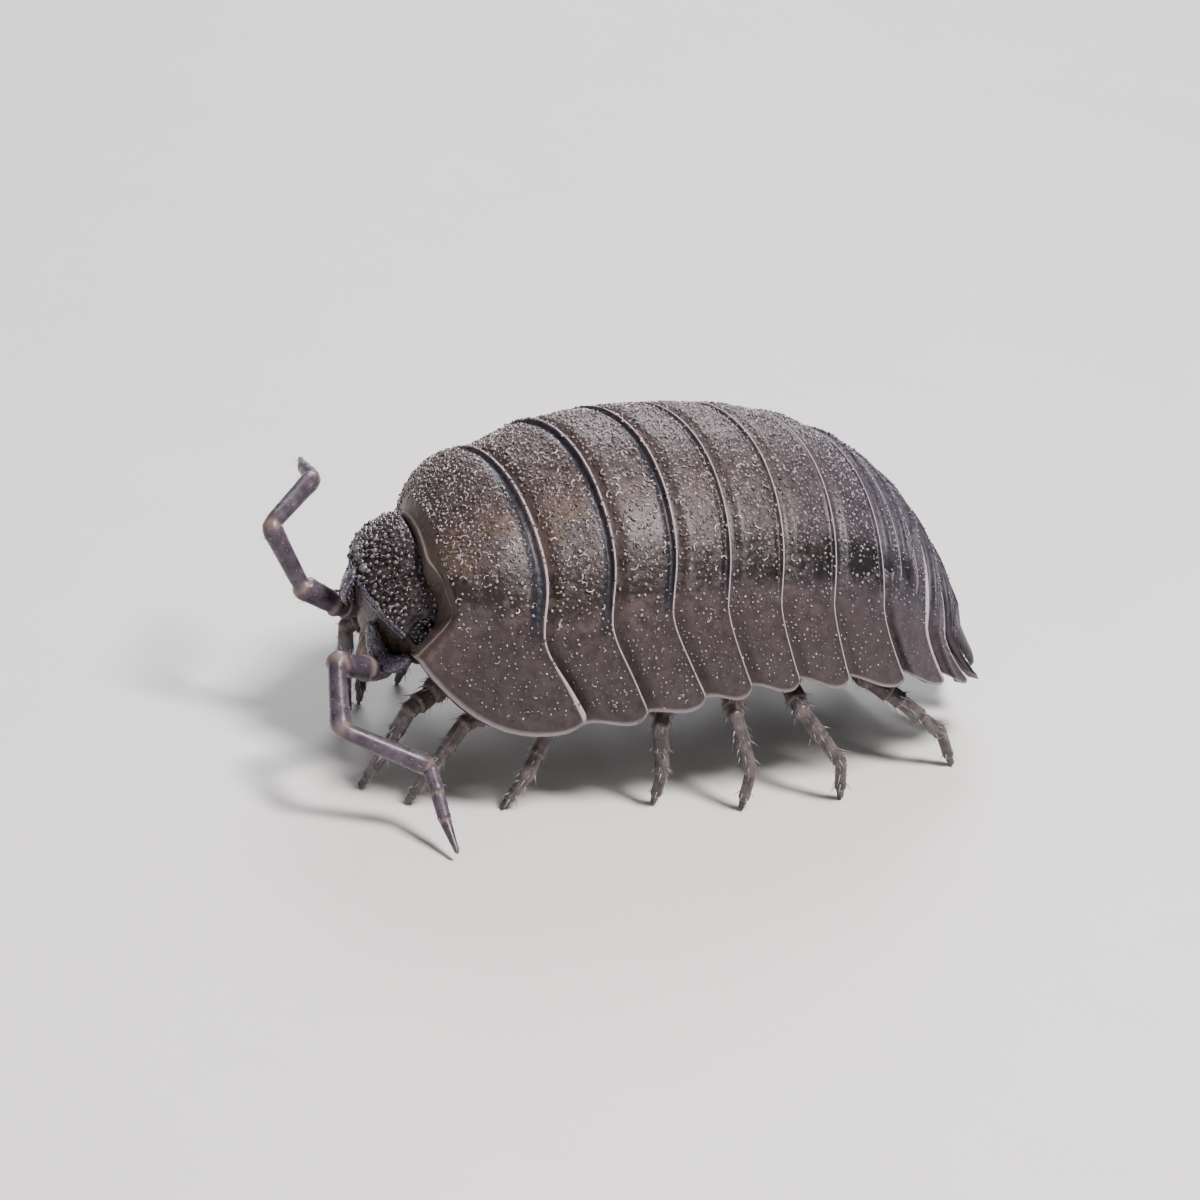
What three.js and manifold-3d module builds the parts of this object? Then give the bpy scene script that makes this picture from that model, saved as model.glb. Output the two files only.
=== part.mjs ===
// Pill woodlouse, life size, standing with its feelers spread.
// Millimetres, +Z up, head toward -Y, the animal's left side toward +X.
import * as THREE from "three";
import { mergeVertices } from "three/addons/utils/BufferGeometryUtils.js";
import Module from "manifold-3d";

const wasm = await Module();
wasm.setup();

// Driving sizes
const HALF_WIDTH = 4.45;
const GAP = 0.3;
const PLATE = 0.42;
const SLANT = 0.35;
const FRONT_BULGE = 0.26;
const LIP = 0.04;
const SUNK = 0.1;
const HULL_POWER = 2.08;
const BELLY_AT = 0.84;
const BELLY_SAG = 0.45;
const ORIGIN = new THREE.Vector3(-0.081, 1.9015, 0);

// Rear edge of each plate: crest point (y, z), side point (y, z), share of the half width,
// how far the flank swings forward and how far the lower corner runs back.
const EDGES = [
  { crest: [-7.7, 6.15], side: [-7.55, 3.65], width: 0.64, swing: -0.15, sweep: -0.9 },
  { crest: [-6.07, 7.16], side: [-5.83, 2.19], width: 0.9, swing: 0.33, sweep: 0.89 },
  { crest: [-4.41, 7.68], side: [-4.55, 2.46], width: 0.96, swing: 0.24, sweep: 0.91 },
  { crest: [-2.78, 7.82], side: [-3.38, 2.75], width: 0.99, swing: 0.16, sweep: 1.14 },
  { crest: [-1.37, 7.77], side: [-2.14, 2.91], width: 1.0, swing: 0.08, sweep: 1.03 },
  { crest: [0.07, 7.64], side: [-0.84, 2.93], width: 1.0, swing: 0.05, sweep: 0.97 },
  { crest: [1.51, 7.34], side: [0.63, 2.8], width: 0.98, swing: 0.04, sweep: 0.87 },
  { crest: [2.77, 6.83], side: [2.18, 2.56], width: 0.94, swing: 0.0, sweep: 0.96 },
  { crest: [3.4, 6.42], side: [2.75, 2.45], width: 0.9, swing: 0.0, sweep: 0.6 },
  { crest: [4.0, 5.92], side: [3.3, 2.3], width: 0.86, swing: 0.0, sweep: 0.6 },
  { crest: [4.62, 5.22], side: [3.75, 2.05], width: 0.78, swing: 0.0, sweep: 0.95 },
  { crest: [5.2, 4.42], side: [4.75, 1.75], width: 0.66, swing: 0.0, sweep: 0.93 },
  { crest: [5.72, 3.62], side: [5.6, 1.45], width: 0.48, swing: 0.0, sweep: 0.85 },
];
const COLLAR_TURN = THREE.MathUtils.degToRad(12);
const HEAD_TURN = THREE.MathUtils.degToRad(7);
const HEAD_ROLL = THREE.MathUtils.degToRad(11);
const NECK = new THREE.Vector3(-0.1, -7.8, 4.66);
// Outline of the head from the side, clockwise from the rear margin: [y, z] at the
// middle and beside the eye
const HEAD_MIDDLE = [[-0.2, 0.8], [-0.5, 0.86], [-0.95, 0.5], [-1.36, -0.2], [-1.24, -0.48],
  [-1.08, -1.15], [-0.9, -1.8], [-0.3, -1.7], [0.1, -0.5]];
const HEAD_SIDE = [[0.2, 0.05], [-0.02, 0.12], [-0.38, -0.1], [-0.66, -0.58], [-0.55, -0.8],
  [-0.45, -1.1], [-0.3, -1.35], [0, -1.2], [0.28, -0.5]];
const HEAD_HALF = 2.1;
const HEAD_CHEEK = 1.88;
const EYE_AT = [1.98, -0.325, -0.352];
const EYE_RADII = [0.2, 0.3, 0.31];
// The head's own axes, turned to the animal's right and with its right side raised
const HEAD_X = new THREE.Vector3(
  Math.cos(HEAD_TURN) * Math.cos(HEAD_ROLL),
  -Math.sin(HEAD_TURN) * Math.cos(HEAD_ROLL),
  -Math.sin(HEAD_ROLL),
);
const HEAD_Y = new THREE.Vector3(Math.sin(HEAD_TURN), Math.cos(HEAD_TURN), 0);
const HEAD_Z = HEAD_X.clone().cross(HEAD_Y);

const SHELL = { color: 0x8d8592, roughness: 0.42, metalness: 0.0 };
const TAIL = { color: 0x83808f, roughness: 0.42, metalness: 0.0 };
const FACE = { color: 0x6d6775, roughness: 0.45, metalness: 0.0 };
const LIMB = { color: 0x9a93a6, roughness: 0.38, metalness: 0.0 };
const EYE = { color: 0x0b0b0e, roughness: 0.12, metalness: 0.0 };
const MOUTH = { color: 0x6b5148, roughness: 0.5, metalness: 0.0 };

const clamp01 = (value) => Math.min(1, Math.max(0, value));
const mix = (a, b, t) => a + (b - a) * t;
const smooth = (a, b, value) => {
  const t = clamp01((value - a) / (b - a));
  return t * t * (3 - 2 * t);
};

// Closed solids from rings of points
function toManifold(positions, triangles) {
  const geometry = new THREE.BufferGeometry();
  geometry.setAttribute("position", new THREE.Float32BufferAttribute(positions, 3));
  geometry.setIndex(triangles);
  const merged = mergeVertices(geometry, 1e-5);
  const index = merged.index.array;
  const kept = [];
  for (let i = 0; i < index.length; i += 3) {
    const [a, b, c] = [index[i], index[i + 1], index[i + 2]];
    if (a !== b && b !== c && c !== a) kept.push(a, b, c);
  }
  const mesh = new wasm.Mesh({
    numProp: 3,
    vertProperties: new Float32Array(merged.attributes.position.array),
    triVerts: new Uint32Array(kept),
  });
  const solid = new wasm.Manifold(mesh);
  return solid.volume() < 0 ? toManifold(positions, flipped(triangles)) : solid;
}

function flipped(triangles) {
  const out = [];
  for (let i = 0; i < triangles.length; i += 3) out.push(triangles[i], triangles[i + 2], triangles[i + 1]);
  return out;
}

function loft(rings) {
  const positions = [];
  const triangles = [];
  const count = rings[0].length;
  for (const ring of rings) for (const point of ring) positions.push(point.x, point.y, point.z);
  for (let r = 0; r < rings.length - 1; r++) {
    for (let s = 0; s < count; s++) {
      const a = r * count + s;
      const b = r * count + ((s + 1) % count);
      triangles.push(a, b, a + count, b, b + count, a + count);
    }
  }
  for (const [ring, turned] of [[0, true], [rings.length - 1, false]]) {
    const centre = new THREE.Vector3();
    for (const point of rings[ring]) centre.addScaledVector(point, 1 / count);
    const hub = positions.length / 3;
    positions.push(centre.x, centre.y, centre.z);
    for (let s = 0; s < count; s++) {
      const a = ring * count + s;
      const b = ring * count + ((s + 1) % count);
      if (turned) triangles.push(b, a, hub);
      else triangles.push(a, b, hub);
    }
  }
  return toManifold(positions, triangles);
}

// A rod through the given points; each stop is [point, half width] or [point, half width, half height]
function rod(stops, sides = 10) {
  const points = stops.map((stop) => stop[0]);
  const rings = [];
  let side = null;
  for (let i = 0; i < points.length; i++) {
    const before = points[Math.max(0, i - 1)];
    const after = points[Math.min(points.length - 1, i + 1)];
    const along = after.clone().sub(before).normalize();
    if (!side) {
      const hint = Math.abs(along.z) > 0.9 ? new THREE.Vector3(1, 0, 0) : new THREE.Vector3(0, 0, 1);
      side = hint.clone().cross(along).normalize();
    } else {
      side = side.clone().addScaledVector(along, -side.dot(along)).normalize();
    }
    const other = along.clone().cross(side);
    const wide = stops[i][1];
    const high = stops[i][2] ?? wide;
    const ring = [];
    for (let s = 0; s < sides; s++) {
      const angle = (2 * Math.PI * s) / sides;
      const point = points[i].clone();
      point.addScaledVector(side, wide * Math.cos(angle));
      point.addScaledVector(other, high * Math.sin(angle));
      ring.push(point);
    }
    rings.push(ring);
  }
  return loft(rings);
}

function ball(centre, radii, rows = 8, sides = 16, power = 2) {
  const rings = [];
  for (let r = 1; r < rows; r++) {
    const polar = (Math.PI * r) / rows;
    const ring = [];
    for (let s = 0; s < sides; s++) {
      const angle = (2 * Math.PI * s) / sides;
      const flat = Math.pow(Math.sin(polar), 2 / power);
      const bend = (value) => Math.sign(value) * Math.pow(Math.abs(value), 2 / power);
      ring.push(new THREE.Vector3(
        centre.x + radii.x * flat * bend(Math.cos(angle)),
        centre.y + radii.y * flat * bend(Math.sin(angle)),
        centre.z + radii.z * bend(Math.cos(polar)),
      ));
    }
    rings.push(ring);
  }
  return loft(rings);
}

function join(solids) {
  let whole = solids[0];
  for (const solid of solids.slice(1)) whole = whole.add(solid);
  return largest(whole);
}

function largest(solid) {
  const bodies = solid.decompose();
  bodies.sort((a, b) => b.volume() - a.volume());
  return bodies[0];
}

const group = new THREE.Group();
group.name = "pill_woodlouse";

function place(name, solid, look) {
  const mesh = largest(solid).getMesh();
  const geometry = new THREE.BufferGeometry();
  geometry.setAttribute("position", new THREE.BufferAttribute(new Float32Array(mesh.vertProperties), 3));
  geometry.setIndex(new THREE.BufferAttribute(new Uint32Array(mesh.triVerts), 1));
  geometry.translate(ORIGIN.x, ORIGIN.y, ORIGIN.z);
  geometry.computeVertexNormals();
  const node = new THREE.Mesh(geometry, new THREE.MeshStandardMaterial(look));
  node.name = name;
  group.add(node);
}

// The dome: a point on rear edge number k, where arc runs from -1 at the right lower
// corner over 0 at the crest to 1 at the left lower corner
function edgePoint(k, arc) {
  const edge = EDGES[k];
  const reach = Math.abs(arc);
  const angle = (Math.min(reach, 1) * Math.PI) / 2;
  const rise = Math.pow(Math.max(0, Math.cos(angle)), 2 / HULL_POWER);
  const out = Math.pow(Math.sin(angle), 2 / HULL_POWER);
  const x = Math.sign(arc) * HALF_WIDTH * edge.width * out;
  let y = mix(edge.side[0], edge.crest[0], rise);
  const z = mix(edge.side[1], edge.crest[1], rise);
  y -= edge.swing * Math.exp(-(((reach - 0.72) / 0.13) ** 2));
  y += edge.sweep * Math.pow(clamp01((reach - 0.72) / 0.28), 1.5);
  if (k === 0) y -= Math.tan(COLLAR_TURN) * x;
  return new THREE.Vector3(x, y, z);
}

function frontPoint(k, arc) {
  if (k !== 10) return edgePoint(k - 1, arc);
  const share = smooth(0.7, 0.84, Math.abs(arc));
  return edgePoint(9, arc).lerp(edgePoint(7, arc), share);
}

// A point on plate k, u from its front (0) to its rear edge (1)
function platePoint(k, u, arc, sag) {
  const point = frontPoint(k, arc);
  point.y += k === 1 ? 0 : GAP;
  point.lerp(edgePoint(k, arc), u);
  const low = clamp01((Math.abs(arc) - 0.6) / 0.4);
  point.z -= sag * Math.sin(Math.PI * Math.pow(u, 0.9)) * low * low;
  return point;
}

function outward(k, u, arc, sag) {
  const step = 0.01;
  const a = platePoint(k, u, Math.max(-1, arc - step), sag);
  const b = platePoint(k, u, Math.min(1, arc + step), sag);
  return new THREE.Vector3(a.z - b.z, 0, b.x - a.x).normalize();
}

// The inner side of plate k where it meets the belly, right side first
function rims(k, u, bellyAt, sag, offset) {
  return [-1, 1].map((side) => {
    const normal = outward(k, u, side * bellyAt, sag);
    return platePoint(k, u, side * bellyAt, sag).addScaledVector(normal, offset - PLATE);
  });
}

// A belly point of ring k, share from -1 at the right rim to 1 at the left rim
function bellyPoint(k, u, share, rim, sag) {
  const t = (share + 1) / 2;
  const bulge = 1 - share * share;
  const crest = platePoint(k, u, 0, sag);
  const middle = mix((rim[0].y + rim[1].y) / 2, crest.y, 0.15);
  return new THREE.Vector3(
    mix(rim[0].x, rim[1].x, t),
    mix(rim[share < 0 ? 0 : 1].y, middle, bulge),
    mix(rim[0].z, rim[1].z, t) - BELLY_SAG * bulge,
  );
}

// One ring of the body: plate above, belly below, u from 0 to 1
function bodySolid(k, options) {
  const { reach = 1, corner = 0.1, sag = 0.3, across = 26 } = options;
  const stops = [0, 0.1, 0.28, 0.55, 0.82, 1];
  const outer = [];
  const inner = [];
  for (const u of stops) {
    const limit = reach - corner * Math.pow(1 - u, 2.2);
    const swell = k === 1 ? FRONT_BULGE * Math.sin(Math.PI * u) : 0;
    const offset = mix(-SUNK, LIP, smooth(0, 0.3, u)) + swell;
    const outerRow = [];
    const innerRow = [];
    const bellyAt = Math.min(BELLY_AT, limit - 0.08);
    const rim = rims(k, u, bellyAt, sag, offset);
    for (let s = 0; s <= across; s++) {
      const arc = limit * (-1 + (2 * s) / across);
      const normal = outward(k, u, arc, sag);
      const top = platePoint(k, u, arc, sag).addScaledVector(normal, offset);
      outerRow.push(top);
      let beneath = platePoint(k, u, arc, sag);
      if (Math.abs(arc) >= bellyAt) {
        const thin = mix(PLATE, 0.26, clamp01((Math.abs(arc) - bellyAt) / (limit - bellyAt)));
        beneath.addScaledVector(normal, offset - thin);
      } else {
        beneath = bellyPoint(k, u, arc / bellyAt, rim, sag);
      }
      beneath.y -= k === 1 ? SLANT * u : SLANT;
      innerRow.push(beneath);
    }
    outer.push(outerRow);
    inner.push(innerRow);
  }
  return slab(outer, inner);
}

// A closed slab between two grids of points
function slab(outer, inner) {
  const rows = outer.length;
  const columns = outer[0].length;
  const positions = [];
  const triangles = [];
  for (const grid of [outer, inner]) {
    for (const row of grid) for (const point of row) positions.push(point.x, point.y, point.z);
  }
  const at = (side, row, column) => side * rows * columns + row * columns + column;
  for (let r = 0; r < rows - 1; r++) {
    for (let c = 0; c < columns - 1; c++) {
      for (const side of [0, 1]) {
        const [a, b] = [at(side, r, c), at(side, r, c + 1)];
        const [d, e] = [at(side, r + 1, c), at(side, r + 1, c + 1)];
        if (side === 0) triangles.push(a, b, d, b, e, d);
        else triangles.push(a, d, b, b, d, e);
      }
    }
  }
  const edge = [];
  for (let c = 0; c < columns; c++) edge.push([0, c]);
  for (let r = 1; r < rows; r++) edge.push([r, columns - 1]);
  for (let c = columns - 2; c >= 0; c--) edge.push([rows - 1, c]);
  for (let r = rows - 2; r >= 1; r--) edge.push([r, 0]);
  for (let i = 0; i < edge.length; i++) {
    const [r0, c0] = edge[i];
    const [r1, c1] = edge[(i + 1) % edge.length];
    const [a, b] = [at(0, r0, c0), at(0, r1, c1)];
    const [d, e] = [at(1, r0, c0), at(1, r1, c1)];
    triangles.push(a, d, b, b, d, e);
  }
  return toManifold(positions, triangles);
}

// The seven body plates and the five tail plates
const rings = {};
for (let k = 1; k <= 7; k++) {
  rings[k] = bodySolid(k, { corner: k === 1 ? 0.02 : 0.1, sag: k === 1 ? 0.75 : 0.32 });
}
for (let k = 8; k <= 12; k++) {
  const hidden = k < 10;
  rings[k] = bodySolid(k, {
    reach: hidden ? 0.67 : 1,
    corner: hidden ? 0 : 0.04,
    sag: hidden ? 0 : 0.12,
    across: 20,
  });
}
// the third tail plate reaches forward round the two narrow ones
for (const k of [8, 9]) {
  for (const move of [[0, GAP, 0], [0, GAP, -GAP], [0, 0, -GAP], [0, -GAP, -GAP]]) {
    rings[10] = rings[10].subtract(rings[k].translate(move));
  }
}
// the first tail plate is cut back where it would meet the last body plate
rings[8] = largest(rings[8].subtract(rings[7].translate([0, GAP / 2, 0])));
// the head sits in a hollow of the first plate
rings[1] = rings[1].subtract(headSolid(GAP, 2));
for (let k = 1; k <= 12; k++) {
  if (k <= 7) place(`pereonite_${k}`, rings[k], SHELL);
  else place(`pleonite_${k - 7}`, rings[k], TAIL);
}

// The end plate of the tail and the two flat tail feet beside it
function flatPlate(outline, lift, thickness) {
  const outer = [];
  const inner = [];
  for (const [left, right] of outline) {
    const topRow = [];
    const lowRow = [];
    for (let s = 0; s <= 6; s++) {
      const share = s / 6;
      const point = left.clone().lerp(right, share);
      point.z += lift * Math.sin(Math.PI * share);
      topRow.push(point);
      lowRow.push(point.clone().add(new THREE.Vector3(0, -thickness * 0.5, -thickness)));
    }
    outer.push(topRow);
    inner.push(lowRow);
  }
  return slab(outer, inner);
}

const TELSON_LENGTH = 1.2;
const telsonRows = [0, 0.25, 0.5, 0.75, 1].map((u) => {
  const half = mix(1.35, 0.42, Math.pow(u, 0.9));
  const root = edgePoint(12, 0.42);
  const y = mix(root.y + 1.4 * GAP, root.y + GAP + TELSON_LENGTH, u);
  const z = mix(root.z - 0.12, 1.15, u) - 0.05 * Math.sin(Math.PI * u);
  return [new THREE.Vector3(-half, y, z), new THREE.Vector3(half, y, z)];
});
place("telson", flatPlate(telsonRows, 0.32, 0.5), TAIL);

for (const [name, side] of [["left", 1], ["right", -1]]) {
  const rows = [0, 0.5, 1].map((u) => {
    const inX = mix(1.5, 0.82, u);
    const outX = mix(1.8, 1.5, u);
    const y = mix(6.4, 7.08, u);
    const z = mix(1.85, 1.36, u);
    const a = new THREE.Vector3(side * inX, y, z);
    const b = new THREE.Vector3(side * outX, y - 0.1, z - 0.18);
    return side > 0 ? [a, b] : [b, a];
  });
  place(`uropod_${name}`, flatPlate(rows, 0.06, 0.42), TAIL);
}

// The head is built straight, then turned and rolled
function turned(point) {
  return NECK.clone()
    .addScaledVector(HEAD_X, point.x)
    .addScaledVector(HEAD_Y, point.y)
    .addScaledVector(HEAD_Z, point.z);
}

function local(x, y, z) {
  return turned(new THREE.Vector3(x, y, z));
}

// A stop of the head's side outline at a distance x from the middle
function headStop(x, i) {
  const count = HEAD_MIDDLE.length;
  const at = ((i % count) + count) % count;
  const t = Math.pow(Math.min(1, Math.abs(x) / HEAD_CHEEK), 1.8);
  const y = mix(HEAD_MIDDLE[at][0], HEAD_SIDE[at][0], t);
  const z = mix(HEAD_MIDDLE[at][1], HEAD_SIDE[at][1], t);
  const past = Math.max(0, Math.abs(x) - HEAD_CHEEK) / (HEAD_HALF - HEAD_CHEEK);
  const shrink = Math.sqrt(Math.max(0, 1 - past * past));
  return [mix(-0.15, y, shrink), mix(-0.45, z, shrink)];
}

// A smooth curve through the stops; share counts the stops
function headOutline(x, share) {
  const i = Math.floor(share);
  const u = share - i;
  const [p, q, r, s] = [i - 1, i, i + 1, i + 2].map((stop) => headStop(x, stop));
  return [0, 1].map((axis) => 0.5 * (
    2 * q[axis] + (r[axis] - p[axis]) * u
    + (2 * p[axis] - 5 * q[axis] + 4 * r[axis] - s[axis]) * u * u
    + (3 * q[axis] - p[axis] - 3 * r[axis] + s[axis]) * u * u * u
  ));
}

function headSolid(grow, steps) {
  const stations = [-2.09, -2.0, -1.88, -1.62, -1.3, -0.95, -0.6, -0.3, 0];
  for (let i = 7; i >= 0; i--) stations.push(-stations[i]);
  const count = HEAD_MIDDLE.length * steps;
  return loft(stations.map((x) => {
    const flat = [];
    for (let i = 0; i < count; i++) flat.push(headOutline(x, i / steps));
    const wide = (x * (HEAD_HALF + grow)) / HEAD_HALF;
    return flat.map(([y, z], i) => {
      const before = flat[(i + count - 1) % count];
      const after = flat[(i + 1) % count];
      const span = Math.hypot(after[0] - before[0], after[1] - before[1]);
      const outY = (grow * (after[1] - before[1])) / span;
      const outZ = (-grow * (after[0] - before[0])) / span;
      return local(wide, y + outY, z + outZ);
    });
  }));
}

function headBall(x, y, z, rx, ry, rz, rows, sides, power) {
  const centre = new THREE.Vector3(x, y, z);
  const solid = ball(centre, new THREE.Vector3(rx, ry, rz), rows, sides, power);
  return solid.warp((vertex) => {
    const point = turned(new THREE.Vector3(vertex[0], vertex[1], vertex[2]));
    vertex[0] = point.x;
    vertex[1] = point.y;
    vertex[2] = point.z;
  });
}

// Feeler joints from the root out to the tip, one list a side
const FEELERS = {
  left: {
    joints: [[0.34, -8.56, 2.4], [0.98, -9.33, 2.76], [1.7, -10.45, 3.35], [3.0, -10.84, 2.35],
      [3.9, -8.97, 1.65], [4.75, -8.88, 0.7], [5.45, -8.85, 0.22]],
  },
  right: {
    joints: [[-1.72, -8.33, 2.97], [-1.62, -8.9, 3.15], [-1.8, -9.67, 3.55], [-2.2, -10.46, 4.99],
      [-3.5, -8.8, 5.45], [-4.5, -8.55, 5.25], [-5.3, -8.25, 5.1]],
  },
};

const headPieces = [headSolid(0, 3)];
// the brow line from the middle shield down to before each eye
for (const side of [-1, 1]) {
  headPieces.push(rod([0, 0.2, 0.4, 0.6, 0.8, 1].map((t) => {
    const [y, z] = headOutline(HEAD_CHEEK * t, 3);
    return [local(side * HEAD_CHEEK * t, y, z), mix(0.15, 0.1, t)];
  }), 8));
}
// the middle shield between the feelers
headPieces.push(rod([
  [local(0, -1.2, 0.1), 0.5, 0.14],
  [local(0, -1.42, -0.15), 0.5, 0.2],
  [local(0, -1.5, -0.5), 0.38, 0.2],
  [local(0, -1.32, -0.9), 0.16, 0.14],
], 10));
// the feeler lobes, curved like a C
for (const side of [-1, 1]) {
  const lobe = [[0.85, -1.08, -1.0], [0.98, -0.98, -1.4], [1.25, -0.88, -1.6], [1.6, -0.76, -1.55],
    [1.92, -0.55, -1.2]];
  headPieces.push(rod(lobe.map(([x, y, z], i) => {
    return [local(side * x, y, z), 0.16 + 0.06 * Math.sin((Math.PI * i) / 4)];
  }), 8));
}
// the row of blunt points over the brow
const POINTS = 7;
for (let i = 0; i < POINTS; i++) {
  const x = 1.6 * ((2 * i) / (POINTS - 1) - 1);
  const [y, z] = headOutline(x, 2.6);
  headPieces.push(rod([[local(x, y + 0.1, z - 0.05), 0.2], [local(1.06 * x, y - 0.2, z + 0.16), 0.05]], 6));
}
let head = join(headPieces);
for (const [name, side] of [["left", 1], ["right", -1]]) {
  const [x, y, z] = [side * EYE_AT[0], EYE_AT[1], EYE_AT[2]];
  const room = EYE_RADII.map((radius) => radius + 0.12);
  head = head.subtract(headBall(x, y, z, ...room, 8, 16, 2));
  place(`eye_${name}`, headBall(x, y, z, ...EYE_RADII, 8, 16, 2), EYE);
}
for (const side of ["left", "right"]) {
  const [from, to] = FEELERS[side].joints.map((joint) => new THREE.Vector3(...joint));
  const deep = from.clone().addScaledVector(to.clone().sub(from).normalize(), -0.45);
  head = head.subtract(rod([[deep, 0.45], [to, 0.45]], 12));
}
place("head", head, FACE);

// The mouth cone under the head
place("mouthparts", join([
  rod([
    [local(0, -0.5, -2.05), 0.42, 0.34],
    [local(0, -0.55, -2.3), 0.5, 0.38],
    [local(0, -0.62, -2.6), 0.42, 0.3],
    [local(0, -0.7, -2.85), 0.22, 0.16],
  ], 12),
]), MOUTH);

// Feelers: base of three lengths, two long lengths and the whip, each its own solid
function limbLength(from, to, radius, trimFrom, trimTo, sides = 10) {
  const along = to.clone().sub(from);
  const length = along.length();
  along.normalize();
  const a = from.clone().addScaledVector(along, trimFrom);
  const b = to.clone().addScaledVector(along, -trimTo);
  const span = length - trimFrom - trimTo;
  const at = (t) => a.clone().addScaledVector(along, span * t);
  return rod([
    [at(0), radius * 0.68],
    [at(0.1), radius * 0.95],
    [at(0.35), radius * 0.93],
    [at(0.7), radius],
    [at(0.92), radius * 1.02],
    [b, radius * 0.72],
  ], sides);
}

for (const side of ["left", "right"]) {
  const p = FEELERS[side].joints.map((j) => new THREE.Vector3(...j));
  // three short articles, each wider than its root
  const first = (t) => p[0].clone().lerp(p[1], t);
  const third = (t) => p[1].clone().lerp(p[2], t);
  place(`antenna_${side}_base`, rod([[p[0], 0.26], [first(0.3), 0.31], [first(0.5), 0.3], [first(0.56), 0.26],
    [first(0.66), 0.3], [first(0.92), 0.3], [third(0.02), 0.25], [third(0.14), 0.28], [third(0.58), 0.29],
    [third(0.68), 0.27], [third(0.74), 0.2]], 12), LIMB);
  place(`antenna_${side}_article_4`, limbLength(p[2], p[3], 0.25, 0.2, 0.27), LIMB);
  place(`antenna_${side}_article_5`, limbLength(p[3], p[4], 0.25, 0.27, 0.18), LIMB);
  const start = p[4].clone().lerp(p[5], 0.15 / p[4].distanceTo(p[5]));
  place(`antenna_${side}_flagellum`, rod([[start, 0.14], [start.clone().lerp(p[5], 0.15), 0.2],
    [p[5].clone().lerp(start, 0.06), 0.19], [p[5].clone().lerp(p[6], 0.12), 0.16],
    [p[5].clone().lerp(p[6], 0.7), 0.12], [p[6], 0.06]], 8), LIMB);
}

// Legs: root under the belly, knee, shin and foot, for the left and the right side
const LEGS = [
  { root: 1.75, knee: [2.2, -8.75, 2.2], shin: [2.0, -9.15, 1.05], foot: [1.5, -9.35] },
  { root: 2.35, knee: [2.75, -7.6, 2.0], shin: [2.85, -8.35, 0.95], foot: [2.5, -8.65] },
  { root: 2.55, knee: [3.15, -5.6, 1.75], shin: [3.45, -6.2, 0.85], foot: [3.25, -6.6] },
  { root: 2.65, knee: [3.95, -3.15, 2.0], shin: [4.15, -3.05, 0.95], foot: [3.85, -3.0] },
  { root: 2.65, knee: [4.2, -1.35, 2.2], shin: [4.8, -1.1, 1.05], foot: [4.6, -1.1] },
  { root: 2.6, knee: [4.2, 0.4, 2.15], shin: [4.85, 1.25, 1.05], foot: [4.65, 1.5] },
  { root: 2.4, knee: [3.5, 3.5, 1.75], shin: [3.75, 4.6, 0.9], foot: [3.7, 5.05] },
];
const RIGHT_STEP = [1.1, 1.2, 0.5, 0.3, -0.3, 0.3, -0.25];

function legRoot(k, x) {
  const sag = 0.32;
  const rim = rims(k, 0.5, BELLY_AT, sag, LIP);
  const point = bellyPoint(k, 0.5, x / rim[1].x, rim, sag);
  point.y -= 0.6 * SLANT;
  point.z -= 1.4 * GAP;
  return point;
}

for (const [name, side] of [["left", 1], ["right", -1]]) {
  LEGS.forEach((leg, i) => {
    const step = side > 0 ? 0 : RIGHT_STEP[i];
    const shift = (point, share) => new THREE.Vector3(side * point[0], point[1] + step * share, point[2]);
    const root = legRoot(i + 1, side * leg.root);
    const knee = shift(leg.knee, 0.5);
    const shin = shift(leg.shin, 0.9);
    const foot = shift([leg.foot[0], leg.foot[1], 0], 1);
    const hip = root.clone().lerp(knee, 0.35);
    hip.z -= 0.15;
    const sole = foot.clone();
    sole.z = -0.4;
    const body = rod([
      [root, 0.3],
      [hip, 0.34],
      [root.clone().lerp(knee, 0.58), 0.28],
      [root.clone().lerp(knee, 0.66), 0.32],
      [root.clone().lerp(knee, 0.9), 0.31],
      [knee, 0.26],
      [knee.clone().lerp(shin, 0.14), 0.29],
      [knee.clone().lerp(shin, 0.8), 0.29],
      [shin, 0.25],
      [shin.clone().lerp(foot, 0.14), 0.27],
      [shin.clone().lerp(foot, 0.7), 0.25],
      [foot, 0.24],
      [sole, 0.24],
    ], 10);
    place(`leg_${name}_${i + 1}`, body.trimByPlane([0, 0, 1], 0), LIMB);
  });
}

export default group;
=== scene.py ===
"""Pill woodlouse, life size: shell plates, head, feelers, legs and their granules and bristles."""
import math

import bpy
import numpy as np
from mathutils import Matrix, Vector


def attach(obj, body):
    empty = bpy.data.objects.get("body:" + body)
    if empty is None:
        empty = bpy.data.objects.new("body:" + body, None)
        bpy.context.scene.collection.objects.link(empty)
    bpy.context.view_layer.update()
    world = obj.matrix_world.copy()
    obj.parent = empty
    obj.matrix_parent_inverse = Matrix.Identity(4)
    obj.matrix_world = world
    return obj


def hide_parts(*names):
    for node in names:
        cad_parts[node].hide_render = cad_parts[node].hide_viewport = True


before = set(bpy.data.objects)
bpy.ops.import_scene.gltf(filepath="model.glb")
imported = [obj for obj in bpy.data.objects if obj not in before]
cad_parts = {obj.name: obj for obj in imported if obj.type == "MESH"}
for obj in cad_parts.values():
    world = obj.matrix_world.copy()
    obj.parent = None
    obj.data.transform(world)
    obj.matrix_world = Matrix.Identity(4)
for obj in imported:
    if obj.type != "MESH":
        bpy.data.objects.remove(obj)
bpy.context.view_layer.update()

# Driving sizes in millimetres, in the same places as the solids
MM = 0.001
ORIGIN = np.array([-0.081, 1.9015, 0.0])
HALF_WIDTH = 4.45
GAP = 0.3
HULL_POWER = 2.08
BELLY_AT = 0.84
BELLY_SAG = 0.45
UNDERLAP = 0.62
LIP = 0.04
SHEET = 0.34
RIM_SHEET = 0.14
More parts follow.
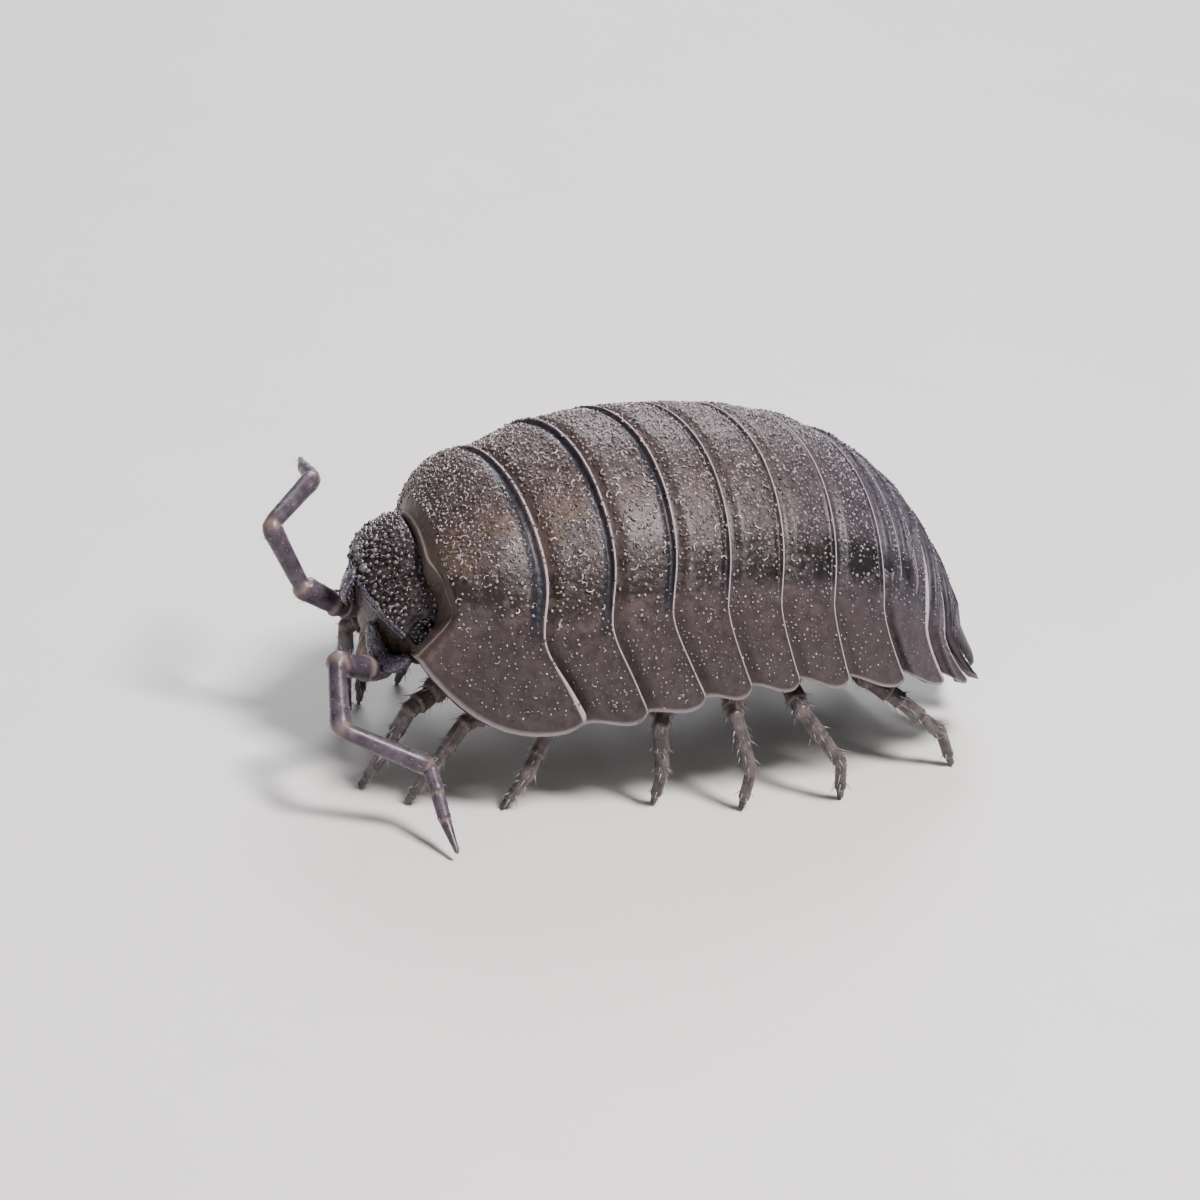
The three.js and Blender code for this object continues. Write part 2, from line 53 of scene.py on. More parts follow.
PLATE = 0.42
SLANT = 0.28
CREST_SHARE = 0.15
COLLAR_SWELL = 0.26
REAR_BEAD = 0.035
SIDE_BEAD = 0.03
GROOVE_DEPTH = 0.07
NARROW_PLATES = (8, 9)
COLLAR_TURN = math.radians(12)
HEAD_TURN = math.radians(7)
HEAD_ROLL = math.radians(11)
NECK = np.array([-0.1, -7.8, 4.66])
HEAD_HALF = 2.1
HEAD_CHEEK = 1.88
EYE_AT = (1.98, -0.325, -0.352)
EYE_LENS = (0.16, 0.3, 0.31)

# Rear edge of each plate: crest (y, z), side (y, z), share of half width, swing, sweep
EDGES = [
    ((-7.7, 6.15), (-7.55, 3.65), 0.64, -0.15, -0.9),
    ((-6.07, 7.16), (-5.83, 2.19), 0.9, 0.33, 0.89),
    ((-4.41, 7.68), (-4.55, 2.46), 0.96, 0.24, 0.91),
    ((-2.78, 7.82), (-3.38, 2.75), 0.99, 0.16, 1.14),
    ((-1.37, 7.77), (-2.14, 2.91), 1.0, 0.08, 1.03),
    ((0.07, 7.64), (-0.84, 2.93), 1.0, 0.05, 0.97),
    ((1.51, 7.34), (0.63, 2.8), 0.98, 0.04, 0.87),
    ((2.77, 6.83), (2.18, 2.56), 0.94, 0.0, 0.96),
    ((3.4, 6.42), (2.75, 2.45), 0.9, 0.0, 0.6),
    ((4.0, 5.92), (3.3, 2.3), 0.86, 0.0, 0.6),
    ((4.62, 5.22), (3.75, 2.05), 0.78, 0.0, 0.95),
    ((5.2, 4.42), (4.75, 1.75), 0.66, 0.0, 0.93),
    ((5.72, 3.62), (5.6, 1.45), 0.48, 0.0, 0.85),
]


def mix(a, b, t):
    return a + (b - a) * t


def smooth(a, b, value):
    t = np.clip((value - a) / (b - a), 0, 1)
    return t * t * (3 - 2 * t)


def bell(value, centre, width):
    return np.exp(-(((value - centre) / width) ** 2))


def add_node(tree, kind, settings, inputs):
    """A new node with its settings, and its inputs linked or set."""
    made = tree.nodes.new(kind)
    for key, value in (settings or {}).items():
        setattr(made, key, value)
    for key, value in inputs.items():
        if isinstance(value, bpy.types.NodeSocket):
            tree.links.new(value, made.inputs[key])
        else:
            made.inputs[key].default_value = value
    return made


def add_object(name, data):
    """A new object in the scene."""
    item = bpy.data.objects.new(name, data)
    bpy.context.scene.collection.objects.link(item)
    return item


# Shader expressions


class Value:
    """A socket in a material that can be added, scaled and compared."""

    def __init__(self, finish, socket):
        self.finish = finish
        self.socket = socket

    def math(self, operation, *others):
        return self.finish.node("ShaderNodeMath", {"operation": operation}, [self, *others])

    def __add__(self, other):
        return self.math("ADD", other)

    def __sub__(self, other):
        return self.math("SUBTRACT", other)

    def __mul__(self, other):
        return self.math("MULTIPLY", other)

    def __rsub__(self, other):
        return self.finish.node("ShaderNodeMath", {"operation": "SUBTRACT"}, [other, self])

    __radd__ = __add__

    def power(self, exponent):
        return self.math("POWER", exponent)

    def size(self):
        return self.math("ABSOLUTE")

    def ramp(self, low, high):
        """0 below low, 1 above high and smooth between."""
        settings = {"interpolation_type": "SMOOTHSTEP"}
        return self.finish.node("ShaderNodeMapRange", settings, [self, low, high, 0.0, 1.0])

    def near(self, centre, width):
        """1 at centre, falling to 0 at a distance of width."""
        return 1.0 - (self - centre).size().ramp(0.0, width)


class Finish:
    """One procedural material."""

    def __init__(self, name, roughness=0.4, coat=0.0, subsurface=0.0, specular=0.5, radius=0.0004):
        self.material = bpy.data.materials.new(name)
        self.material.use_nodes = True
        self.tree = self.material.node_tree
        self.shader = self.tree.nodes["Principled BSDF"]
        settings = {
            "Roughness": roughness,
            "Coat Weight": coat,
            "Coat Roughness": 0.2,
            "Subsurface Weight": subsurface,
            "Subsurface Radius": (1.0, 0.75, 0.7),
            "Subsurface Scale": radius,
            "Specular IOR Level": specular,
        }
        for key, value in settings.items():
            self.shader.inputs[key].default_value = value

    def node(self, kind, settings=None, inputs=(), output=0):
        pairs = inputs.items() if isinstance(inputs, dict) else enumerate(inputs)
        sockets = {key: value.socket if isinstance(value, Value) else value for key, value in pairs}
        return Value(self, add_node(self.tree, kind, settings, sockets).outputs[output])

    def place(self):
        """Place on the object in millimetres."""
        spot = self.node("ShaderNodeTexCoord", output=3)
        return self.node("ShaderNodeVectorMath", {"operation": "SCALE"}, {0: spot, "Scale": 1 / MM})

    def attribute(self, name):
        return self.node("ShaderNodeAttribute", {"attribute_name": name}, output=2)

    def noise(self, scale, detail=3.0, roughness=0.55):
        inputs = {"Vector": self.place(), "Scale": scale, "Detail": detail, "Roughness": roughness}
        return self.node("ShaderNodeTexNoise", None, inputs)

    def cells(self, scale, feature="F1"):
        inputs = {"Vector": self.place(), "Scale": scale}
        return self.node("ShaderNodeTexVoronoi", {"feature": feature}, inputs)

    def blend(self, factor, a, b):
        settings = {"data_type": "RGBA", "clamp_factor": True}
        return self.node("ShaderNodeMix", settings, {0: factor, 6: a, 7: b}, output=2)

    def layered(self, base, *layers):
        """Colours laid over a base one after another, each by its own share."""
        for share, tone in layers:
            base = self.blend(share, base, tone)
        return base

    def bump(self, height, strength, distance):
        inputs = {"Height": height, "Strength": strength, "Distance": distance}
        return self.node("ShaderNodeBump", None, inputs)

    def set(self, **links):
        names = {"color": "Base Color", "roughness": "Roughness", "normal": "Normal"}
        for key, value in links.items():
            self.tree.links.new(value.socket, self.shader.inputs[names[key]])
        return self.material


def colour(r, g, b):
    return (r, g, b, 1.0)


def shell_finish(name, pale, deep, row_share, rim_from):
    """Half-clear shell: lavender grey, ochre clouds, a dark row of mottling, pale rims."""
    finish = Finish(name, roughness=0.4, coat=0.04, subsurface=0.1, specular=0.28, radius=0.00012)
    along = finish.attribute("along")
    arc = finish.attribute("arc").size()
    ring = finish.attribute("ring")
    cloud = finish.noise(0.6, 4.0)
    fine = finish.noise(3.6, 5.0, 0.65)
    speck = finish.noise(11.0, 3.0, 0.6)
    first_plate = 1.0 - ring.ramp(1.0, 1.5)

    ochre = cloud.ramp(0.4, 0.6) * arc.near(0.42, 0.36) * (1.0 - ring.ramp(2.0, 6.5))
    smooth_front = (1.0 - along.ramp(0.04, 0.16)) * (1.0 - ring.ramp(6.5, 7.5))
    flank = finish.blend(fine, colour(0.021, 0.0125, 0.0125), colour(0.05, 0.034, 0.035))
    row = arc.near(0.585, 0.13).ramp(0.0, 0.7) * finish.noise(1.7, 4.0, 0.75).ramp(0.36, 0.5)
    brown = finish.blend(ring.ramp(3.0, 6.0), colour(0.008, 0.0022, 0.0014), colour(0.003, 0.0018, 0.002))
    slate = along.near(0.86, 0.13).ramp(0.0, 0.55) * (1.0 - ring.ramp(2.5, 6.0))
    slate = slate * (1.0 - arc.ramp(0.66, 0.8))
    collar = (1.0 - along.ramp(-0.08, 0.02)) * first_plate
    collar_skin = finish.blend(fine, colour(0.034, 0.021, 0.015), colour(0.07, 0.048, 0.038))
    collar_rim = along.near(-0.44, 0.06) * first_plate
    base = finish.layered(
        finish.blend(fine.ramp(0.34, 0.66), deep, pale),
        (ring.ramp(3.0, 8.0) * 0.5, colour(0.032, 0.027, 0.038)),
        (ochre * 0.75, colour(0.082, 0.05, 0.028)),
        (smooth_front * 0.6, colour(0.04, 0.027, 0.024)),
        (arc.ramp(0.6, 0.8) * 0.65, flank),
        (row * row_share, brown),
        (slate * 0.97, colour(0.005, 0.004, 0.009)),
        (collar * 0.8, collar_skin),
        (collar_rim * 0.7, colour(0.186, 0.167, 0.167)),
        (finish.attribute("side").ramp(0.982, 0.997) * 0.85, colour(0.3, 0.245, 0.26)),
        (along.ramp(*rim_from) * 0.95, colour(0.33, 0.27, 0.30)),
    )
    gloss = 0.32 + fine * 0.25 + speck * 0.12
    lumps = finish.cells(6.0) * -0.8 + speck * 0.5 + fine * 0.8
    return finish.set(color=base, roughness=gloss, normal=finish.bump(lumps, 0.4, 0.00005))


def granule_finish(name, pale, deep):
    """Small glassy knobs, each with its own tone."""
    finish = Finish(name, roughness=0.12, coat=0.6, subsurface=0.15, specular=0.6, radius=0.00008)
    tone = finish.attribute("tone")
    speck = finish.noise(9.0, 2.0)
    base = finish.layered(
        finish.blend(tone.ramp(0.0, 1.0).power(1.4), deep, pale),
        (speck.ramp(0.45, 0.7) * 0.3, deep),
    )
    return finish.set(color=base, roughness=0.1 + speck * 0.2)


def head_finish():
    """Dark granulated cuticle above, bare brown face below the brow, violet rims."""
    finish = Finish("head_cuticle", roughness=0.38, coat=0.1, subsurface=0.06, specular=0.15, radius=0.00008)
    fine = finish.noise(5.0, 5.0, 0.6)
    net = finish.cells(5.0, "DISTANCE_TO_EDGE")
    face = finish.blend(fine.ramp(0.4, 0.65), colour(0.006, 0.003, 0.002), colour(0.034, 0.018, 0.009))
    base = finish.layered(
        finish.blend(fine.ramp(0.35, 0.65), colour(0.009, 0.0055, 0.0065), colour(0.036, 0.025, 0.028)),
        ((1.0 - net.ramp(0.02, 0.12)) * 0.15, colour(0.16, 0.12, 0.13)),
        (finish.attribute("below"), face),
        (finish.attribute("rim") * 0.7, colour(0.05, 0.04, 0.075)),
    )
    lumps = fine * 0.8 + net.ramp(0.0, 0.2) * 0.6
    return finish.set(color=base, roughness=0.25 + fine * 0.25, normal=finish.bump(lumps, 0.5, 0.00005))


def lobe_finish():
    """Violet grey with a fine pale net."""
    finish = Finish("violet_lobe", roughness=0.3, coat=0.4, subsurface=0.05, radius=0.00006)
    net = finish.cells(9.0, "DISTANCE_TO_EDGE")
    fine = finish.noise(7.0, 4.0)
    base = finish.blend(fine.ramp(0.35, 0.65), colour(0.01, 0.0075, 0.018), colour(0.032, 0.025, 0.052))
    base = finish.blend((1.0 - net.ramp(0.02, 0.14)) * 0.5, base, colour(0.16, 0.14, 0.19))
    lumps = finish.bump(net.ramp(0.0, 0.3), 0.5, 0.00003)
    return finish.set(color=base, roughness=0.3 + fine * 0.2, normal=lumps)


def limb_finish(name, pale, deep, joint):
    """Feelers and legs: smoky lavender lengths with cream joints."""
    finish = Finish(name, roughness=0.3, coat=0.05, subsurface=0.2, specular=0.3, radius=0.0001)
    fine = finish.noise(3.5, 4.0, 0.6)
    speck = finish.noise(14.0, 2.0)
    base = finish.layered(
        finish.blend(fine.ramp(0.3, 0.7), deep, pale),
        (finish.attribute("joint") * 0.7, joint),
        (finish.attribute("root") * 0.7, colour(0.05, 0.03, 0.022)),
        (speck.ramp(0.62, 0.7) * 0.2, colour(0.26, 0.22, 0.25)),
    )
    lumps = finish.bump(speck + fine, 0.2, 0.00002)
    return finish.set(color=base, roughness=0.25 + fine * 0.25, normal=lumps)


def plain_finish(name, pale, deep, scale, **settings):
    """Two tones mixed by fine noise."""
    finish = Finish(name, **settings)
    fine = finish.noise(scale, 4.0, 0.6)
    base = finish.blend(fine.ramp(0.35, 0.65), deep, pale)
    rough = finish.shader.inputs["Roughness"].default_value
    lumps = finish.bump(fine, 0.3, 0.00003)
    return finish.set(color=base, roughness=rough * 0.8 + fine * 0.2, normal=lumps)


# Mesh making


def make(name, points, faces, marks=None):
    """A smooth mesh object from millimetre points, with named numbers at its points."""
    mesh = bpy.data.meshes.new(name)
    placed = (np.asarray(points, float) + ORIGIN) * MM
    mesh.from_pydata(placed.tolist(), [], [list(map(int, face)) for face in faces])
    for mark, values in (marks or {}).items():
        values = np.asarray(values, float)
        if values.ndim == 2:
            layer = mesh.attributes.new(mark, "FLOAT_VECTOR", "POINT")
            layer.data.foreach_set("vector", values.ravel())
        else:
            layer = mesh.attributes.new(mark, "FLOAT", "POINT")
            layer.data.foreach_set("value", values)
    mesh.shade_smooth()
    mesh.validate()
    mesh.update()
    return add_object(name, mesh)


def eased(path, times):
    """The path with its corners rounded."""
    for _ in range(times):
        path[1:-1] = (path[:-2] + 2 * path[1:-1] + path[2:]) / 4
    return path


def join_parts(parts):
    """Points, faces and marks of several parts as one."""
    points = []
    faces = []
    marks = {}
    count = 0
    for part_points, part_faces, part_marks in parts:
        points.append(np.asarray(part_points, float))
        faces += [[index + count for index in face] for face in part_faces]
        for mark, values in part_marks.items():
            marks.setdefault(mark, []).append(np.asarray(values, float))
        count += len(part_points)
    return np.vstack(points), faces, {mark: np.concatenate(values) for mark, values in marks.items()}


def grid_faces(rows, columns, start=0, turned=False):
    faces = []
    for r in range(rows - 1):
        for c in range(columns - 1):
            a = start + r * columns + c
            face = [a, a + 1, a + columns + 1, a + columns]
            faces.append(face[::-1] if turned else face)
    return faces


def slab(outer, inner):
    """A closed slab between two grids (rows, columns, 3)."""
    rows, columns = outer.shape[:2]
    count = rows * columns
    faces = grid_faces(rows, columns) + grid_faces(rows, columns, count, True)
    edge = [(0, c) for c in range(columns)]
    edge += [(r, columns - 1) for r in range(1, rows)]
    edge += [(rows - 1, c) for c in range(columns - 2, -1, -1)]
    edge += [(r, 0) for r in range(rows - 2, 0, -1)]
    for (r0, c0), (r1, c1) in zip(edge, edge[1:] + edge[:1]):
        a = r0 * columns + c0
        b = r1 * columns + c1
        faces.append([b, a, a + count, b + count])
    return np.vstack([outer.reshape(-1, 3), inner.reshape(-1, 3)]), faces


def ring_faces(rows, sides):
    """Faces of a skin made of closed rings, with one more point at each end."""
    faces = []
    for r in range(rows - 1):
        for c in range(sides):
            a = r * sides + c
            b = r * sides + (c + 1) % sides
            faces.append([a, b, b + sides, a + sides])
    last = (rows - 1) * sides
    hub = rows * sides
    for c in range(sides):
        faces.append([(c + 1) % sides, c, hub])
        faces.append([last + c, last + (c + 1) % sides, hub + 1])
    return faces


def tube(path, wide, high=None, sides=14):
    """A closed round limb along a path; wide and high are half sizes at each point."""
    path = np.asarray(path, float)
    high = wide if high is None else high
    along = np.gradient(path, axis=0)
    along /= np.linalg.norm(along, axis=1)[:, None]
    side = np.cross([0.0, 0.0, 1.0], along[0])
    if np.linalg.norm(side) < 0.2:
        side = np.cross([1.0, 0.0, 0.0], along[0])
    side /= np.linalg.norm(side)
    angles = np.linspace(0, 2 * math.pi, sides, endpoint=False)
    points = []
    for i, centre in enumerate(path):
        side = side - along[i] * side.dot(along[i])
        side /= np.linalg.norm(side)
        other = np.cross(along[i], side)
        across = np.outer(np.cos(angles), side) * wide[i]
        points.append(centre + across + np.outer(np.sin(angles), other) * high[i])
    points = np.vstack([*points, path[0], path[-1]])
    lie = np.vstack([np.repeat(along, sides, axis=0), along[0], along[-1]])
    return points, ring_faces(len(path), sides), lie


def dome(centre, radii, rows, sides):
    """A closed rounded lump."""
    polar = np.linspace(0, math.pi, rows + 1)[1:-1]
    angle = np.linspace(0, 2 * math.pi, sides, endpoint=False)
    polar, angle = np.meshgrid(polar, angle, indexing="ij")
    grid = np.stack([np.sin(polar) * np.cos(angle), np.sin(polar) * np.sin(angle), np.cos(polar)], -1)
    points = np.vstack([grid.reshape(-1, 3), [[0, 0, 1]], [[0, 0, -1]]])
    points = points * np.array(radii) + np.array(centre)
    return points, [[face[1], face[0], *face[:1:-1]] for face in ring_faces(rows - 1, sides)]


# Things that repeat over a surface


MOST_PER_SQUARE_METRE = 4.0e8
PATCH_SCALE = 0.0015
STRETCH_SEED = 3
TONE_SEED = 7


class Scatter:
    """A node tree that sets small shapes all over a surface, where its marks allow."""

    def __init__(self, name):
        self.tree = bpy.data.node_groups.new(name, "GeometryNodeTree")
        self.sockets = {}
        self.add_input("Surface", "NodeSocketGeometry")
        self.tree.interface.new_socket("Result", in_out="OUTPUT", socket_type="NodeSocketGeometry")
        self.group_in = self.tree.nodes.new("NodeGroupInput")
        self.group_out = self.tree.nodes.new("NodeGroupOutput")

    def add_input(self, name, kind="NodeSocketFloat"):
        socket = self.tree.interface.new_socket(name, in_out="INPUT", socket_type=kind)
        self.sockets[name] = socket.identifier

    def entry(self, name):
        return next(s for s in self.group_in.outputs if s.name == name)

    def node(self, kind, settings=None, inputs=None, output=0):
        return add_node(self.tree, kind, settings, inputs or {}).outputs[output]

    def named(self, name, kind="FLOAT"):
        return self.node("GeometryNodeInputNamedAttribute", {"data_type": kind}, {"Name": name})

    def random(self, low, high, seed):
        """A random number or vector between two limits."""
        vector = isinstance(low, tuple)
        first = 0 if vector else 2
        settings = {"data_type": "FLOAT_VECTOR" if vector else "FLOAT"}
        inputs = {first: low, first + 1: high, "Seed": seed}
        return self.node("FunctionNodeRandomValue", settings, inputs, output=0 if vector else 1)

    def product(self, a, b):
        return self.node("ShaderNodeMath", {"operation": "MULTIPLY"}, {0: a, 1: b})

    def scaled(self, vector, scale):
        return self.node("ShaderNodeVectorMath", {"operation": "SCALE"}, {0: vector, "Scale": scale})

    def total(self, a, b):
        return self.node("ShaderNodeVectorMath", {"operation": "ADD"}, {0: a, 1: b})

    def store(self, geometry, name, value, kind, domain):
        settings = {"data_type": kind, "domain": domain}
        inputs = {"Geometry": geometry, "Name": name, "Value": value}
        return self.node("GeometryNodeStoreNamedAttribute", settings, inputs)

    def finish(self, result):
        self.tree.links.new(result, self.group_out.inputs[0])


def build_scatter(name, shape, leaning, mark="grain"):
    """Granules, curls or bristles: one shape set on a surface at random spots."""
    field = Scatter(name)
    for title in ("Spacing", "Small", "Large", "Tall"):
        field.add_input(title)
    if leaning:
        field.add_input("Lean")
    field.add_input("Seed", "NodeSocketInt")
    field.add_input("Material", "NodeSocketMaterial")
    seed = field.entry("Seed")
    settings = {"distribute_method": "POISSON"}
    inputs = {
        "Mesh": field.entry("Surface"),
        "Distance Min": field.entry("Spacing"),
        "Density Max": MOST_PER_SQUARE_METRE,
        "Density Factor": field.named(mark),
        "Seed": seed,
    }
    spread = add_node(field.tree, "GeometryNodeDistributePointsOnFaces", settings, inputs)

    size = field.random(field.entry("Small"), field.entry("Large"), seed)
    wide = field.product(size, field.named("grain_size"))
    tall = field.product(wide, field.entry("Tall"))
    if leaning:
        long = wide
        pull = field.scaled(field.named("lie", "FLOAT_VECTOR"), field.entry("Lean"))
        way = field.total(spread.outputs["Normal"], pull)
        way = field.total(way, field.random((-0.25, -0.25, -0.25), (0.25, 0.25, 0.25), seed))
        turn = field.node("FunctionNodeAlignRotationToVector", {"axis": "Z"}, {"Vector": way})
    else:
        long = field.product(wide, field.random(0.75, 1.5, STRETCH_SEED))
        spin = field.random((-0.35, -0.35, 0.0), (0.35, 0.35, 6.283), seed)
        local = field.node("FunctionNodeEulerToRotation", None, {0: spin})
        inputs = {0: spread.outputs["Rotation"], 1: local}
        turn = field.node("FunctionNodeRotateRotation", {"rotation_space": "LOCAL"}, inputs)
    scale = field.node("ShaderNodeCombineXYZ", None, {0: long, 1: wide, 2: tall})

    patch = field.scaled(field.node("GeometryNodeInputPosition"), PATCH_SCALE)
    body = field.store(shape(field), "patch", patch, "FLOAT_VECTOR", "POINT")
    inputs = {"Points": spread.outputs["Points"], "Instance": body, "Rotation": turn, "Scale": scale}
    many = field.node("GeometryNodeInstanceOnPoints", None, inputs)
    many = field.store(many, "tone", field.random(0.0, 1.0, TONE_SEED), "FLOAT", "INSTANCE")
    real = field.node("GeometryNodeRealizeInstances", None, {"Geometry": many})
    spot = field.total(field.named("root_uv", "FLOAT_VECTOR"), field.named("patch", "FLOAT_VECTOR"))
    real = field.store(real, "OFBake", spot, "FLOAT2", "CORNER")
    smooth_faces = field.node("GeometryNodeSetShadeSmooth", None, {"Geometry": real})
    inputs = {"Geometry": smooth_faces, "Material": field.entry("Material")}
    field.finish(field.node("GeometryNodeSetMaterial", None, inputs))
    return field


def knob_shape(field):
    """A round knob, standing a little proud of the shell."""
    ball = field.node("GeometryNodeMeshIcoSphere", None, {"Radius": 1.0, "Subdivisions": 1})
    inputs = {"Geometry": ball, "Translation": (0, 0, 0.15), "Rotation": (0.4, 0.2, 0)}
    return field.node("GeometryNodeTransform", None, inputs)


def curl_shape(field):
    """A short curled ridge, like a broken ring standing on the shell."""
    by_radius = {"mode": "RADIUS"}
    inputs = {"Resolution": 6, "Radius": 1.0, "Sweep Angle": 2.9}
    arc = field.node("GeometryNodeCurveArc", by_radius, inputs)
    inputs = {"Resolution": 4, "Radius": 0.3}
    ring = field.node("GeometryNodeCurvePrimitiveCircle", by_radius, inputs)
    inputs = {"Curve": arc, "Profile Curve": ring, "Fill Caps": True}
    sweep = field.node("GeometryNodeCurveToMesh", None, inputs)
    return field.node("GeometryNodeTransform", None, {"Geometry": sweep, "Translation": (0, 0, 0.12)})


def bristle_shape(field):
    """A stiff bristle one unit tall."""
    inputs = {"Vertices": 4, "Radius Top": 0.0, "Radius Bottom": 0.06, "Depth": 1.0}
    cone = field.node("GeometryNodeMeshCone", {"fill_type": "TRIANGLE_FAN"}, inputs)
    return field.node("GeometryNodeTransform", None, {"Geometry": cone, "Translation": (0, 0, -0.06)})


GRANULES = build_scatter("granules", knob_shape, False)
CURLS = build_scatter("curls", curl_shape, False, "curl")
BRISTLES = build_scatter("bristles", bristle_shape, True)


def scatter(name, field, surface, material, slot, **sizes):
    """Runs a scatter over a surface and keeps the result as a mesh of its own."""
    holder = add_object(name + "_holder", surface.data)
    modifier = holder.modifiers.new("scatter", "NODES")
    modifier.node_group = field.tree
    for key, value in sizes.items():
        modifier[field.sockets[key.capitalize()]] = value
    modifier[field.sockets["Material"]] = material
    graph = bpy.context.evaluated_depsgraph_get()
    mesh = bpy.data.meshes.new_from_object(holder.evaluated_get(graph))
    bpy.data.objects.remove(holder)
    mesh.name = name
    piece = add_object(name, mesh)
    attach(piece, "root")
    return piece


def dress(piece, material, slot, *nodes):
    piece.data.materials.append(material)
    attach(piece, "root")
    if nodes:
        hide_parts(*nodes)
    return piece


# The shell


def edge_point(k, arc):
    crest, side, width, swing, sweep = EDGES[k]
    reach = np.abs(arc)
    angle = np.minimum(reach, 1.0) * math.pi / 2
    rise = np.maximum(0.0, np.cos(angle)) ** (2 / HULL_POWER)
    x = np.sign(arc) * HALF_WIDTH * width * np.sin(angle) ** (2 / HULL_POWER)
    y = mix(side[0], crest[0], rise) - swing * bell(reach, 0.72, 0.13)
    y = y + sweep * np.clip((reach - 0.72) / 0.28, 0, 1) ** 1.5
    z = mix(side[1], crest[1], rise)
    if k == 0:
        y = y - math.tan(COLLAR_TURN) * x
    return np.stack([x, y, z], -1)


def front_point(k, arc):
    if k != 10:
        return edge_point(k - 1, arc)
    share = smooth(0.3, 0.64, np.abs(arc))[..., None]
    return mix(edge_point(9, arc), edge_point(7, arc), share)


def plate_point(k, u, arc, sag):
    front = front_point(k, arc)
    if k > 1:
        front[..., 1] += GAP
    rear = edge_point(k, arc)
    length = np.linalg.norm(rear - front, axis=-1)
    under = UNDERLAP if k > 1 else mix(UNDERLAP, 0.03, smooth(0.3, 0.53, np.abs(arc)))
    ahead = np.minimum(u, 0) * under / length
    point = mix(front, rear, (np.maximum(u, 0) + ahead)[..., None])
    low = np.clip((np.abs(arc) - 0.6) / 0.4, 0, 1)
    point[..., 2] -= sag * np.sin(math.pi * np.clip(u, 0, 1) ** (0.85 if k == 1 else 1.4)) * low * low
    return point


def outward(k, u, arc, sag):
    a = plate_point(k, u, np.maximum(-1, arc - 0.01), sag)
    b = plate_point(k, u, np.minimum(1, arc + 0.01), sag)
    normal = np.stack([a[..., 2] - b[..., 2], 0 * arc, b[..., 0] - a[..., 0]], -1)
    return normal / np.linalg.norm(normal, axis=-1)[..., None]


# Rows along a plate: the tucked front lies below 0 and the rear edge at 1
TUCKED_ROWS = [-1.0, -0.5, -0.36, -0.24, -0.12]
COLLAR_ROWS = [-0.5, -0.48, -0.45, -0.42, -0.38, -0.3, -0.15]
PLATE_ROWS = [0.0, 0.03, 0.07, 0.12, 0.18, 0.25, 0.33, 0.42, 0.5, 0.58, 0.66, 0.74, 0.8, 0.85, 0.9, 0.935]
RIM_ROWS = [0.955, 0.97, 0.985, 0.995, 1.0]


def ring_lift(k, u, s, arc):
    """How far the skin stands off the plate's frame: tucked front, groove, rims and swelling."""
    far = np.abs(arc)
    if k == 1:
        lift = COLLAR_SWELL * np.sin(math.pi * np.clip(u, 0, 1)) + LIP
        lift = lift - 0.34 * smooth(0.0, 0.5, -u) + 0.05 * bell(u, -0.44, 0.05)
    else:
        lift = mix(-0.1, LIP, smooth(-0.35, 0.12, u)) - 0.08 * smooth(0.5, 1.0, -u)
    lift = lift + REAR_BEAD * bell(u, 0.965, 0.03)
    lift = lift - GROOVE_DEPTH * bell(u, 0.885, 0.05) * (1 - smooth(0.64, 0.74, far))
    lift = lift - 0.05 * smooth(0.985, 1.0, u) - 0.05 * smooth(0.985, 1.0, np.abs(s))
    lift = lift + SIDE_BEAD * bell(np.abs(s), 0.975, 0.012)
    if k > 7:
        lift = lift - 0.32 * np.clip(-u, 0, 1)
    if k in NARROW_PLATES:
        lift = lift - 0.3 * smooth(0.8, 1.0, np.abs(s))
    if k == 10:
        lift = lift - 0.1 * (1 - smooth(0.1, 0.6, u)) * smooth(0.3, 0.5, far)
    return lift


def ring_belly(k, u, arc, belly_at, lift, sag):
    """The inner skin between the two sides, hanging down in the middle."""
    rims = []
    for side in (-1, 1):
        at = side * belly_at
        rims.append(plate_point(k, u, at, sag) + outward(k, u, at, sag) * (lift[..., None] - PLATE))
    share = arc / belly_at
    bulge = np.clip(1 - share * share, 0, 1)
    crest = plate_point(k, u, 0 * arc, sag)
    belly = mix(rims[0], rims[1], ((share + 1) / 2)[..., None])
    middle = mix((rims[0][..., 1] + rims[1][..., 1]) / 2, crest[..., 1], CREST_SHARE)
    ends = np.where(share < 0, rims[0][..., 1], rims[1][..., 1])
    belly[..., 1] = mix(ends, middle, bulge)
    belly[..., 2] -= BELLY_SAG * bulge
    return belly


def both(first, second):
    """Numbers for one run of points, then for another."""
    return np.concatenate([np.ravel(first), np.ravel(second)])


